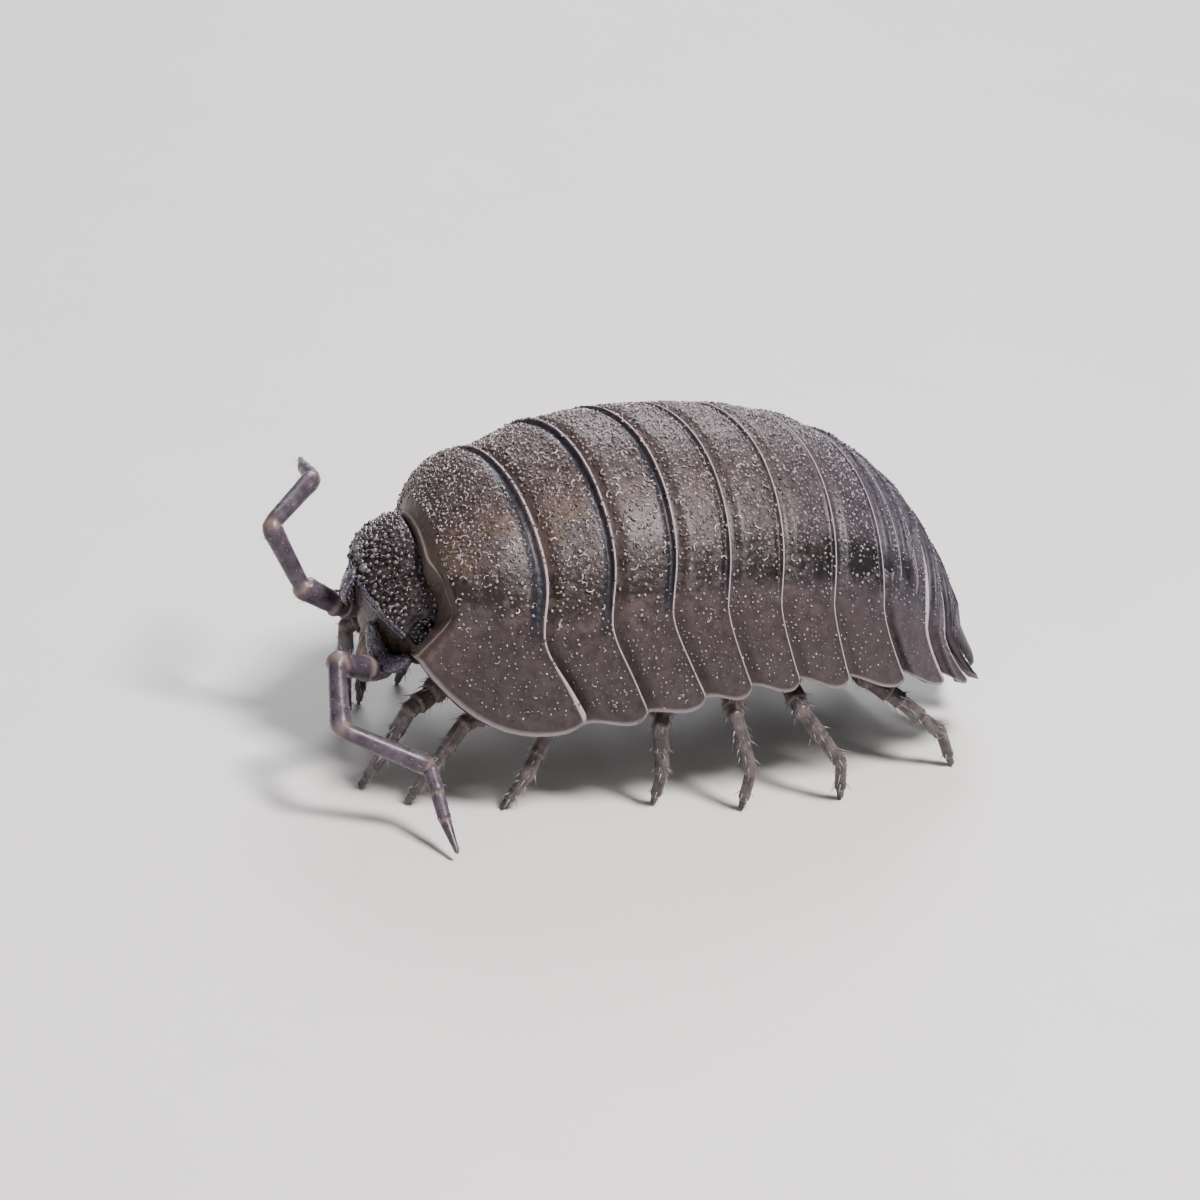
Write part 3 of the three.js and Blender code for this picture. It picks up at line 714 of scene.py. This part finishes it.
def ring_marks(k, u, s, arc):
    """Numbers that place the colours, granules and curls of a ring."""
    far = np.abs(arc)
    none = np.zeros(u.shape)
    start = (-0.14, -0.06) if k == 1 else (-0.24, -0.05) if k < 4 else (-0.45, -0.3)
    dense = smooth(*start, u) * (1 - smooth(0.92, 0.95, u)) * (1 - smooth(0.945, 0.97, np.abs(s)))
    if k <= 3:
        dense = dense * (1 - smooth(0.8, 0.82, u) * (1 - smooth(0.64, 0.7, far)))
        dense = dense + 0.8 * smooth(0.935, 0.955, u) * (1 - smooth(0.985, 0.995, u))
    dense = dense * mix(1.0, 0.6, smooth(0.56, 0.7, far)) * (1 - 0.4 * bell(far, 0.585, 0.05))
    start = (-0.1, 0.0) if k == 1 else (-0.2, -0.05)
    curl = smooth(*start, u) * (1 - smooth(0.8, 0.84, u)) * (1 - 0.9 * smooth(0.5, 0.64, far))
    across = (s + 1) / 2 * 0.96 + 0.02
    down = np.clip(u, 0, 1) * 0.45
    return {
        "along": both(u, np.minimum(u, 0.6)),
        "arc": both(arc, arc),
        "ring": np.full(2 * u.size, float(k)),
        "side": np.abs(both(s, 0.7 * s)) * (0.9 if k in NARROW_PLATES else 1.0),
        "grain": both(dense, none),
        "curl": both(curl, none),
        "grain_size": both(mix(1.0, 0.75, smooth(0.6, 0.8, far)), none + 1),
        "root_uv": np.stack([both(across, across), both(down + 0.52, down + 0.02), both(none, none)], -1),
    }


def body_ring(k, reach=1.0, corner=0.1, sag=0.3, columns=141):
    """One body ring: plate above, belly below, its front tucked under the ring ahead."""
    rows = (COLLAR_ROWS if k == 1 else TUCKED_ROWS) + PLATE_ROWS + RIM_ROWS
    u, s = np.meshgrid(rows, np.linspace(-1, 1, columns), indexing="ij")
    limit = reach - corner * np.clip(1 - u, 0, 1) ** 2.2
    limit = limit - (0.035 if k == 1 else 0.022) * np.clip((u - 0.78) / 0.22, 0, 1) ** 3
    arc = limit * s
    lift = ring_lift(k, u, s, arc)
    base = plate_point(k, u, arc, sag)
    normal = outward(k, u, arc, sag)
    belly_at = np.minimum(BELLY_AT, limit - 0.08)
    thin = mix(SHEET, 0.16, np.clip((np.abs(arc) - belly_at) / (limit - belly_at), 0, 1))
    thin = mix(thin, RIM_SHEET, smooth(0.6, 0.95, u))
    sheet = base + normal * (lift - thin)[..., None]
    belly = ring_belly(k, u, arc, belly_at, lift, sag)
    inner = np.where((np.abs(arc) >= belly_at)[..., None], sheet, belly)
    inner[..., 1] -= SLANT * np.clip(u, 0, 1)
    points, faces = slab(base + normal * lift[..., None], inner)
    return points, faces, ring_marks(k, u, s, arc)


SHELL = shell_finish(
    "lavender_shell", colour(0.066, 0.046, 0.05), colour(0.019, 0.0115, 0.013), 0.95, (0.95, 0.968)
)
TAIL_SHELL = shell_finish(
    "blue_grey_shell", colour(0.047, 0.0395, 0.053), colour(0.0138, 0.0115, 0.0168), 0.5, (0.9, 0.93)
)
PALE_KNOB = granule_finish("pale_granule", colour(0.25, 0.205, 0.215), colour(0.06, 0.044, 0.047))
BLUE_KNOB = granule_finish("blue_grey_granule", colour(0.15, 0.132, 0.16), colour(0.04, 0.034, 0.044))
CURL = granule_finish("white_curl", colour(0.3, 0.25, 0.255), colour(0.06, 0.043, 0.045))

# Curls grow sparser from the first plate to the seventh
CURL_SPACING = (0.00014, 0.00014, 0.00016, 0.00018, 0.00022, 0.00026, 0.0003)

for k in range(1, 13):
    front = k <= 7
    name = f"plate_{k}" if front else f"tail_plate_{k - 7}"
    node = f"pereonite_{k}" if front else f"pleonite_{k - 7}"
    slot = "shell" if front else "tail_shell"
    if front:
        ring = body_ring(k, corner=0.02 if k == 1 else 0.012, sag=0.8 if k == 1 else 0.12)
    elif k < 10:
        ring = body_ring(k, reach=0.72, corner=0.06, sag=0.0, columns=101)
    else:
        ring = body_ring(k, corner=0.01, sag=0.06, columns=101)
    plate = dress(make(name, *ring), SHELL if front else TAIL_SHELL, slot, node)
    knob = PALE_KNOB if k <= 6 else BLUE_KNOB
    scatter(
        f"{name}_granules", GRANULES, plate, knob, slot,
        spacing=0.000102 if front else 0.00013,
        small=0.000017, large=0.000043 if front else 0.000036, tall=1.1, seed=k,
    )
    if front:
        scatter(
            f"{name}_curls", CURLS, plate, CURL, slot,
            spacing=CURL_SPACING[k - 1],
            small=0.00003, large=0.000075, tall=1.0, seed=40 + k,
        )

# The end of the tail


def flat_plate(rows, lift, thickness, columns=25):
    """A thin plate between two side lines, domed by lift and drooping at its sides."""
    share = np.linspace(0, 1, columns)
    droop = 0.08 * (np.abs(2 * share - 1) ** 6)
    outer = []
    inner = []
    for left, right in rows:
        row = mix(np.array(left)[None, :], np.array(right)[None, :], share[:, None])
        row[:, 2] += lift * np.sin(math.pi * share)
        row[:, 2] -= droop
        low = row.copy()
        low[:, 1] -= thickness * 0.4
        low[:, 2] -= thickness - droop * 1.5
        outer.append(row)
        inner.append(low)
    points, faces = slab(np.array(outer), np.array(inner))
    u, s = np.meshgrid(np.linspace(0, 1, len(rows)), np.linspace(-1, 1, columns), indexing="ij")
    none = np.zeros(u.shape)
    inside = smooth(0.05, 0.2, u) * (1 - smooth(0.85, 0.95, u)) * (1 - smooth(0.8, 0.95, np.abs(s)))
    across = (s + 1) / 2
    marks = {
        "along": both(0.25 + 0.75 * u, 0.25 + 0.4 * u),
        "arc": both(0.1 * s, 0.1 * s),
        "ring": np.full(2 * u.size, 12.0),
        "side": 0.95 * np.abs(both(s, s)),
        "grain": both(inside * 0.7, none),
        "grain_size": np.ones(2 * u.size),
        "root_uv": np.stack([both(across, across), both(u * 0.48 + 0.51, u * 0.48), both(none, none)], -1),
    }
    return points, faces, marks


def telson_rows():
    rows = []
    root = edge_point(12, np.array([0.42]))[0]
    for u in np.linspace(-0.25, 1, 22):
        half = mix(1.35, 0.42, max(0.0, u) ** 0.9) * (1 - 0.25 * max(0.0, u - 0.9) / 0.1)
        y = mix(root[1] + 0.42, root[1] + 0.3 + 1.2, u)
        z = mix(root[2] - 0.12, 1.15, u) - 0.05 * math.sin(math.pi * max(u, 0))
        rows.append(((-half, y, z), (half, y, z)))
    return rows


telson = make("telson_plate", *flat_plate(telson_rows(), 0.32, 0.42))
dress(telson, TAIL_SHELL, "tail_shell", "telson")
scatter(
    "telson_granules", GRANULES, telson, BLUE_KNOB, "tail_shell",
    spacing=0.00024, small=0.000024, large=0.00004, tall=0.9, seed=30,
)
for side, word in ((1, "left"), (-1, "right")):
    rows = []
    for u in np.linspace(0, 1, 14):
        a = (side * mix(1.3, 0.6, u), mix(6.08, 7.1, u), mix(2.82, 1.32, u))
        b = (side * mix(1.66, 1.62 - 0.3 * max(0, u - 0.8) / 0.2, u), mix(5.86, 6.8, u), mix(2.6, 1.4, u))
        rows.append((a, b) if side > 0 else (b, a))
    uropod = make(f"uropod_{word}_plate", *flat_plate(rows, 0.07, 0.2, 15))
    dress(uropod, TAIL_SHELL, "tail_shell", f"uropod_{word}")

# The head


HEAD_X = np.array([
    math.cos(HEAD_TURN) * math.cos(HEAD_ROLL),
    -math.sin(HEAD_TURN) * math.cos(HEAD_ROLL),
    -math.sin(HEAD_ROLL),
])
HEAD_Y = np.array([math.sin(HEAD_TURN), math.cos(HEAD_TURN), 0.0])
HEAD_Z = np.cross(HEAD_X, HEAD_Y)

# Outline of the head from the side (y, z), from the rear margin over the brow to the chin
HEAD_MIDDLE = np.array([
    (-0.2, 0.8), (-0.5, 0.86), (-0.95, 0.5), (-1.36, -0.2), (-1.24, -0.48),
    (-1.08, -1.15), (-0.9, -1.8), (-0.3, -1.7), (0.1, -0.5),
])
HEAD_SIDE = np.array([
    (0.2, 0.05), (-0.02, 0.12), (-0.38, -0.1), (-0.66, -0.58), (-0.55, -0.8),
    (-0.45, -1.1), (-0.3, -1.35), (0.0, -1.2), (0.28, -0.5),
])


def turned(points):
    """From the head's own frame to the animal's."""
    points = np.asarray(points, float)
    return points[..., 0:1] * HEAD_X + points[..., 1:2] * HEAD_Y + points[..., 2:3] * HEAD_Z + NECK


def head_at(x, share):
    """A point of the head's skin: x from the middle, share counts the outline's stops."""
    x, share = np.broadcast_arrays(np.asarray(x, float), np.asarray(share, float))
    t = np.minimum(1, np.abs(x) / HEAD_CHEEK)[..., None] ** 1.8
    past = np.clip((np.abs(x) - HEAD_CHEEK) / (HEAD_HALF - HEAD_CHEEK), 0, 1)
    shrink = np.sqrt(1 - past**2)[..., None]
    first = np.floor(share).astype(int)
    u = (share - first)[..., None]
    count = len(HEAD_MIDDLE)
    stops = []
    for step in (-1, 0, 1, 2):
        i = (first + step) % count
        stops.append(mix(np.array([-0.15, -0.45]), mix(HEAD_MIDDLE[i], HEAD_SIDE[i], t), shrink))
    p, q, r, s = stops
    yz = 0.5 * (2 * q + (r - p) * u + (2 * p - 5 * q + 4 * r - s) * u**2 + (3 * q - p - 3 * r + s) * u**3)
    return np.concatenate([x[..., None], yz], -1)


HEAD = head_finish()
LOBE = lobe_finish()
HEAD_KNOB = granule_finish("head_granule", colour(0.1, 0.078, 0.086), colour(0.012, 0.0085, 0.01))

ROWS = 72
BUNCHING = 0.985
ACROSS = np.linspace(-1, 1, 71) * math.pi / 2 * BUNCHING
STATIONS = HEAD_HALF * 0.998 * np.sin(ACROSS) / math.sin(math.pi / 2 * BUNCHING)
station, share = np.meshgrid(STATIONS, np.arange(0, 9, 9 / ROWS), indexing="ij")
skin = head_at(station, share)
eye_gap = np.sqrt(
    ((np.abs(skin[..., 0]) - EYE_AT[0]) / 0.5) ** 2
    + ((skin[..., 1] - EYE_AT[1]) / 0.44) ** 2
    + ((skin[..., 2] - EYE_AT[2]) / 0.45) ** 2
)
skin[..., 0] -= np.sign(skin[..., 0]) * 0.1 * (1 - smooth(0.62, 0.85, eye_gap))
head_points = np.vstack([skin.reshape(-1, 3), skin[0].mean(0), skin[-1].mean(0)])
flat_share = both(share, [5, 5])
flat_x = both(station, [-HEAD_HALF, HEAD_HALF])
upper = (1 - smooth(2.95, 3.1, flat_share)) + smooth(8.9, 9.0, flat_share)
eye_room = smooth(0.92, 1.08, both(eye_gap, [0, 0]))
grain = upper * eye_room * smooth(0.12, 0.3, flat_share)
rim = bell(flat_share, 0.0, 0.1) + bell(flat_share, 9.0, 0.1)
marks = {
    "below": smooth(3.05, 3.2, flat_share) * (1 - smooth(8.4, 8.9, flat_share)),
    "rim": rim + 0.5 * bell(both(eye_gap, [9, 9]), 0.98, 0.14),
    "grain": grain,
    "curl": grain,
    "grain_size": mix(1.0, 1.25, smooth(1.5, 2.9, flat_share)),
    "root_uv": np.stack([0.02 + 0.96 * flat_share / 9, 0.5 + 0.22 * flat_x, 0 * flat_x], -1),
}
head = make("head_capsule", turned(head_points), ring_faces(len(STATIONS), ROWS), marks)
dress(head, HEAD, "head_shell", "head")
scatter(
    "head_granules", GRANULES, head, HEAD_KNOB, "head_shell",
    spacing=0.000135, small=0.00003, large=0.000065, tall=1.3, seed=5,
)
scatter(
    "head_curls", CURLS, head, CURL, "head_shell",
    spacing=0.00026, small=0.00004, large=0.00007, tall=1.2, seed=6,
)


def rod(path, wide, high=None, sides=10):
    """A tube laid out in the head's own frame, with no marks."""
    points, faces, _ = tube(turned(path), wide, high, sides)
    return points, faces, {}


def even_marks(points):
    """Marks for a small piece that is granulated all over."""
    return {"grain": np.ones(len(points)), "grain_size": np.ones(len(points)), "root_uv": points * 0.2 + 0.5}


# Brow: a ridge from the middle shield to before each eye, and a row of blunt points above it
t = np.linspace(-1, 1, 61)
ridge = rod(head_at(HEAD_CHEEK * t, 3.0 + 0 * t), mix(0.08, 0.035, np.abs(t)), mix(0.07, 0.035, np.abs(t)))
under = rod(head_at(HEAD_CHEEK * 0.96 * t, 3.45 + 0 * t), 0.045 + 0 * t, sides=8)
dress(make("brow_ridge", *join_parts([ridge, under])[:2]), LOBE, "head_shell")
parts = []
for x in np.linspace(-1.55, 0.1, 5):
    root = head_at(x, 2.6)
    root[1:] += (0.1, -0.05)
    tip = root + np.array([0.03 * x, -0.2, 0.13])
    u = np.array([0, 0.3, 0.6, 0.85, 1.0])
    size = 0.14 - 0.02 * abs(x)
    parts.append(rod(root + (tip - root) * u[:, None], size * np.sqrt(1.03 - u * u)))
POINT = plain_finish(
    "brow_point_grey", colour(0.11, 0.09, 0.11), colour(0.03, 0.023, 0.028), 6.0, roughness=0.3, coat=0.3
)
dress(make("brow_points", *join_parts(parts)[:2]), POINT, "head_shell")
t = np.linspace(-0.97, 0.97, 61)
rear_rim = rod(head_at(HEAD_CHEEK * t, 0.12 + 0 * t), 0.05 + 0 * t)
dress(make("head_rear_rim", *rear_rim), LOBE, "head_shell")

# The shield in the middle of the brow
t = np.linspace(0, 1, 16)
path = np.stack([0 * t, -1.3 - 0.22 * np.sin(math.pi * (0.12 + 0.76 * t)), mix(-0.05, -0.95, t)], -1)
width = 0.42 * np.sqrt(np.clip(1 - (1.96 * t - 0.93) ** 2, 0.01, 1)) * mix(1.05, 0.7, t)
depth = 0.14 * np.sqrt(np.clip(1 - (1.96 * t - 0.98) ** 2, 0.02, 1))
points, faces, _ = rod(path, width, depth, 20)
shield = dress(make("brow_shield", points, faces, even_marks(points)), LOBE, "head_shell")

# The lobes that hold the feelers, curved like a C
LOBE_PATH = np.array([
    (0.8, -1.1, -0.92), (0.9, -1.04, -1.2), (1.02, -0.98, -1.45), (1.25, -0.9, -1.62),
    (1.6, -0.76, -1.58), (1.88, -0.58, -1.3), (1.98, -0.5, -1.1),
])
parts = []
for side in (-1, 1):
    u = np.linspace(0, 6, 37)
    path = np.stack([np.interp(u, range(7), LOBE_PATH[:, i]) for i in range(3)], -1)
    path = eased(path, 6)
    path[:, 0] *= side
    width = mix(0.05, 0.22, np.sin(math.pi * np.linspace(0.0, 1.0, 37)) ** 0.5)
    points, faces, _ = rod(path, width * 0.9, width, 16)
    parts.append((points, faces, even_marks(points)))
lobes = dress(make("feeler_lobes", *join_parts(parts)), LOBE, "head_shell")
for word, surface in (("lobe", lobes), ("shield", shield)):
    scatter(
        f"{word}_granules", GRANULES, surface, CURL, "head_shell",
        spacing=0.00009, small=0.000014, large=0.000026, tall=0.9, seed=8,
    )

# Eyes: a black lens with small facets standing on it
EYE_BLACK = plain_finish(
    "eye_black", colour(0.003, 0.003, 0.0035), colour(0.001, 0.001, 0.0012), 6.0, roughness=0.3, specular=0.2
)
FACET = plain_finish(
    "eye_facet", colour(0.004, 0.004, 0.005), colour(0.0015, 0.0015, 0.002), 9.0, roughness=0.14, specular=0.9
)
for side, word, sunk in ((1, "left", 0.01), (-1, "right", 0.15)):
    centre = (side * (EYE_AT[0] - sunk), EYE_AT[1], EYE_AT[2])
    points, faces = dome(centre, EYE_LENS, 24, 40)
    outside = smooth(-0.02, 0.02, side * (points[:, 0] - centre[0]))
    spot = [0.5 + points[:, 1] - centre[1], 0.5 + points[:, 2] - centre[2], 0 * outside]
    marks = {"grain": outside, "grain_size": np.ones(len(points)), "root_uv": np.stack(spot, -1)}
    eye = dress(make(f"eye_{word}_lens", turned(points), faces, marks), EYE_BLACK, "eye", f"eye_{word}")
    scatter(
        f"eye_{word}_facets", GRANULES, eye, FACET, "eye",
        spacing=0.000095, small=0.000042, large=0.000046, tall=0.9, seed=9,
    )

# Mouthparts: a cone of paired palps under the head
MOUTH = plain_finish(
    "mouth_brown", colour(0.11, 0.066, 0.045), colour(0.035, 0.018, 0.012), 4.0,
    roughness=0.35, subsurface=0.1,
)
# Each palp: distance from the middle, half width, top, tip and how far it stands forward
PALPS = ((0.13, 0.14, -1.75, -2.88, 0.1), (0.3, 0.16, -1.7, -2.72, 0.0), (0.44, 0.15, -1.6, -2.5, 0.0))
parts = []
for side in (-1, 1):
    for out, width, top, tip, forward in PALPS:
        t = np.linspace(0, 1, 14)
        x = side * mix(out * 1.1, out * 0.6, t)
        path = np.stack([x, mix(-0.42, -0.68, t) - forward, mix(top, tip, t)], -1)
        size = width * np.sqrt(np.clip(1 - (1.9 * t - 0.95) ** 2, 0.03, 1))
        parts.append(rod(path, size, size * 1.6, 12))
dress(make("mouth_palps", *join_parts(parts)[:2]), MOUTH, "mouth", "mouthparts")

# Feelers and legs


def limb(joints, sizes, sides=16, ease=3):
    """One jointed skin along a line of joints, a little waisted at each joint."""
    path = []
    size = []
    near_joint = []
    grain = []
    t = np.linspace(0, 1, 17)
    for i, (start, end, (near, far)) in enumerate(zip(joints[:-1], joints[1:], sizes)):
        start = np.array(start, float)
        end = np.array(end, float)
        keep = slice(1 if i else 0, None)
        waist = 1 - 0.1 * bell(t, 0.0, 0.07) - 0.08 * bell(t, 1.0, 0.05) + 0.05 * bell(t, 0.87, 0.09)
        path.append((start + (end - start) * t[:, None])[keep])
        size.append((mix(near, far, t) * waist)[keep])
        near_joint.append((bell(t, 0.0, 0.05) + bell(t, 1.0, 0.05))[keep])
        grain.append((0.25 + smooth(0.5, 0.8, t) * (1 - smooth(0.94, 1.0, t)))[keep])
    path = np.vstack(path)
    size, near_joint, grain = (np.concatenate(part) for part in (size, near_joint, grain))
    path = eased(path, ease)
    size[0] *= 0.6
    size[-1] *= 0.5
    points, faces, lie = tube(path, size, None, sides)
    stretch = both(np.repeat(np.linspace(0, 1, len(path)), sides), [0, 1])
    angle = np.arange(len(points)) * 2 * math.pi / sides
    marks = {
        "joint": both(np.repeat(near_joint, sides), [0, 0]),
        "root": np.zeros(len(points)),
        "lie": lie,
        "grain": both(np.repeat(grain, sides), [0, 0]),
        "grain_size": np.ones(len(points)),
        "root_uv": np.stack([
            0.5 + 0.4 * np.cos(angle) * (0.3 + 0.7 * stretch),
            0.5 + 0.4 * np.sin(angle) * (0.3 + 0.7 * stretch),
            0 * stretch,
        ], -1),
    }
    return points, faces, marks, stretch


FEELER = limb_finish(
    "feeler_lavender", colour(0.078, 0.06, 0.08), colour(0.034, 0.025, 0.035), colour(0.2, 0.14, 0.115)
)
# Leg colours: smoky lavender with cream joints, darkened with painted shade for the shadow of the body over
# the legs
LEG = limb_finish(
    "leg_smoke_and_shade", colour(0.1, 0.082, 0.086), colour(0.035, 0.026, 0.026), colour(0.12, 0.088, 0.07)
)
BRISTLE = plain_finish("bristle_pale", colour(0.36, 0.33, 0.38), colour(0.17, 0.15, 0.18), 8.0, roughness=0.3)

FEELERS = {
    "left": [(0.34, -8.56, 2.4), (0.98, -9.33, 2.76), (1.7, -10.45, 3.35), (3.0, -10.84, 2.35),
             (3.9, -8.97, 1.65), (4.75, -8.88, 0.7), (5.45, -8.85, 0.22)],
    "right": [(-1.72, -8.33, 2.97), (-1.62, -8.9, 3.15), (-1.8, -9.67, 3.55), (-2.2, -10.46, 4.99),
              (-3.5, -8.8, 5.45), (-4.5, -8.55, 5.25), (-5.3, -8.25, 5.1)],
}
# Half thickness at the start and the end of each length
FEELER_SIZES = [
    (0.27, 0.31), (0.28, 0.31), (0.26, 0.29), (0.2, 0.24),
    (0.2, 0.23), (0.17, 0.17), (0.16, 0.15), (0.14, 0.05),
]
LEG_SIZES = [(0.26, 0.3), (0.22, 0.25), (0.2, 0.21), (0.18, 0.19), (0.16, 0.17), (0.14, 0.13), (0.1, 0.07)]
CLAW_SIZES = [(0.07, 0.06), (0.06, 0.03)]

for side, joints in FEELERS.items():
    p = [np.array(j) for j in joints]
    whip = mix(p[4], p[5], 0.5)
    path = [p[0] + (p[0] - p[1]) * 0.2, mix(p[0], p[1], 0.52), p[1], p[2], p[3], p[4], whip, p[5], p[6]]
    points, faces, marks, _ = limb(path, FEELER_SIZES, ease=2)
    name = f"feeler_{side}"
    nodes = [f"antenna_{side}_{word}" for word in ("base", "article_4", "article_5", "flagellum")]
    piece = dress(make(name, points, faces, marks), FEELER, "limb", *nodes)
    scatter(
        f"{name}_bristles", BRISTLES, piece, BRISTLE, "limb",
        spacing=0.00019, small=0.0001, large=0.0002, tall=1.0, lean=0.9, seed=11,
    )

# Each leg: distance of its root from the middle, knee, shin, and the foot on the floor
LEGS = [
    (1.75, (2.2, -8.75, 2.2), (2.0, -9.15, 1.05), (1.5, -9.35)),
    (2.35, (2.75, -7.6, 2.0), (2.85, -8.35, 0.95), (2.5, -8.65)),
    (2.55, (3.15, -5.6, 1.75), (3.45, -6.2, 0.85), (3.25, -6.6)),
    (2.65, (3.95, -3.15, 2.0), (4.15, -3.05, 0.95), (3.85, -3.0)),
    (2.65, (4.2, -1.35, 2.2), (4.8, -1.1, 1.05), (4.6, -1.1)),
    (2.6, (4.2, 0.4, 2.15), (4.85, 1.25, 1.05), (4.65, 1.5)),
    (2.4, (3.5, 3.5, 1.75), (3.75, 4.6, 0.9), (3.7, 5.05)),
]
RIGHT_STEP = (1.1, 1.2, 0.5, 0.3, -0.3, 0.3, -0.25)
LEG_SAG = 0.32
LEG_BACK = 0.21
LEG_DROP = 0.42


def leg_root(k, x):
    """Where a leg leaves the belly of ring k, at a distance x from the middle."""
    half = np.array([0.5])
    rims = []
    for side in (-1, 1):
        at = np.array([side * BELLY_AT])
        out = outward(k, half, at, LEG_SAG) * (LIP - PLATE)
        rims.append((plate_point(k, half, at, LEG_SAG) + out)[0])
    share = x / rims[1][0]
    bulge = 1 - share * share
    crest = plate_point(k, half, np.array([0.0]), LEG_SAG)[0]
    middle = mix((rims[0][1] + rims[1][1]) / 2, crest[1], CREST_SHARE)
    y = mix(rims[1][1], middle, bulge) - LEG_BACK
    return np.array([x, y, rims[1][2] - BELLY_SAG * bulge - LEG_DROP])


for side, word in ((1, "left"), (-1, "right")):
    for i, (out, knee, shin, foot) in enumerate(LEGS):
        step = 0.0 if side > 0 else RIGHT_STEP[i]
        root = leg_root(i + 1, side * out)
        knee = np.array([side * knee[0], knee[1] + step * 0.5, knee[2]])
        shin = np.array([side * shin[0], shin[1] + step * 0.9, shin[2]])
        foot = np.array([side * foot[0], foot[1] + step, 0.0])
        hip = root + np.array([0, 0, 0.35])
        bend = mix(root, knee, 0.62)
        bend[2] -= 0.06
        ankle = mix(shin, foot, 0.72)
        path = [hip, bend, mix(root, knee, 0.86), knee, mix(knee, shin, 0.5), shin, ankle]
        path.append(foot + (0, 0, 0.05))
        points, faces, marks, stretch = limb(path, LEG_SIZES, 14)
        marks["root"] = 1 - smooth(0.15, 0.42, stretch)
        marks["grain"] *= 1 - smooth(0.88, 0.95, stretch)
        parts = [(points, faces, marks)]
        for fork in (-1, 1):
            tip = foot + np.array([0.08 * fork, -0.05 * fork, 0.02])
            path = [mix(shin, ankle, 0.95), mix(ankle, tip, 0.5), tip]
            points, faces, marks, _ = limb(path, CLAW_SIZES, 8)
            marks["grain"] *= 0
            parts.append((points, faces, marks))
        name = f"leg_{word}_{i + 1}"
        piece = dress(make(f"{name}_limb", *join_parts(parts)), LEG, "limb", name)
        scatter(
            f"{name}_bristles", BRISTLES, piece, BRISTLE, "limb",
            spacing=0.00015, small=0.00014, large=0.0003, tall=1.0, lean=1.3, seed=20 + i,
        )

# Camera, floor and light
CAMERA_WAY = Vector((0.78404, -0.46661, 0.40933))
CAMERA_RIGHT = Vector((0.45898, 0.87980, 0.12365))
CAMERA_UP = CAMERA_WAY.cross(CAMERA_RIGHT)
CAMERA_DISTANCE = 0.170
# The photo shows the body off its centre by these pixels
PIXELS_PER_MM = 43.07
PIXELS_RIGHT = 96.18
PIXELS_UP = 43.24
AIM = Vector(((np.array([0.0, -0.4175, 4.2208]) + ORIGIN) * MM).tolist())
AIM -= CAMERA_RIGHT * (PIXELS_RIGHT / PIXELS_PER_MM * MM) + CAMERA_UP * (PIXELS_UP / PIXELS_PER_MM * MM)
camera_data = bpy.data.cameras.new("camera")
camera_data.lens = 219.65
camera_data.sensor_width = 36.0
camera_data.clip_start = 0.005
camera = add_object("camera", camera_data)
turn = Matrix((CAMERA_RIGHT, CAMERA_UP, CAMERA_WAY)).transposed().to_4x4()
camera.matrix_world = Matrix.Translation(AIM + CAMERA_WAY * CAMERA_DISTANCE) @ turn
bpy.context.scene.camera = camera

floor_finish = Finish("pale_floor", roughness=0.7)
floor_noise = floor_finish.noise(0.3, 3.0)
floor_finish.set(color=floor_finish.blend(floor_noise, colour(0.62, 0.61, 0.6), colour(0.66, 0.65, 0.64)))
floor_mesh = bpy.data.meshes.new("floor")
FLOOR_HALF = 1.2
corners = [(x * FLOOR_HALF, y * FLOOR_HALF, 0) for x, y in ((-1, -1), (1, -1), (1, 1), (-1, 1))]
floor_mesh.from_pydata(corners, [], [(0, 1, 2, 3)])
floor_mesh.materials.append(floor_finish.material)
add_object("floor", floor_mesh)


def lamp(name, place, size, power, tint=(1, 1, 1)):
    data = bpy.data.lights.new(name, "AREA")
    data.size = size
    data.energy = power
    data.color = tint
    item = add_object(name, data)
    item.location = place
    item.rotation_euler = (Vector((0, 0, 0.004)) - Vector(place)).to_track_quat("-Z", "Y").to_euler()


lamp("key", (0.045, 0.02, 0.1), 0.03, 0.30, (1.0, 0.96, 0.94))
lamp("front", (0.1, -0.13, 0.07), 0.09, 0.085, (1.0, 0.97, 0.97))
lamp("back", (-0.09, 0.05, 0.07), 0.05, 0.13, (0.95, 0.95, 1.0))
world = bpy.data.worlds.new("studio")
world.use_nodes = True
background = world.node_tree.nodes["Background"].inputs
background["Color"].default_value = colour(0.82, 0.81, 0.82)
background["Strength"].default_value = 0.25
bpy.context.scene.world = world
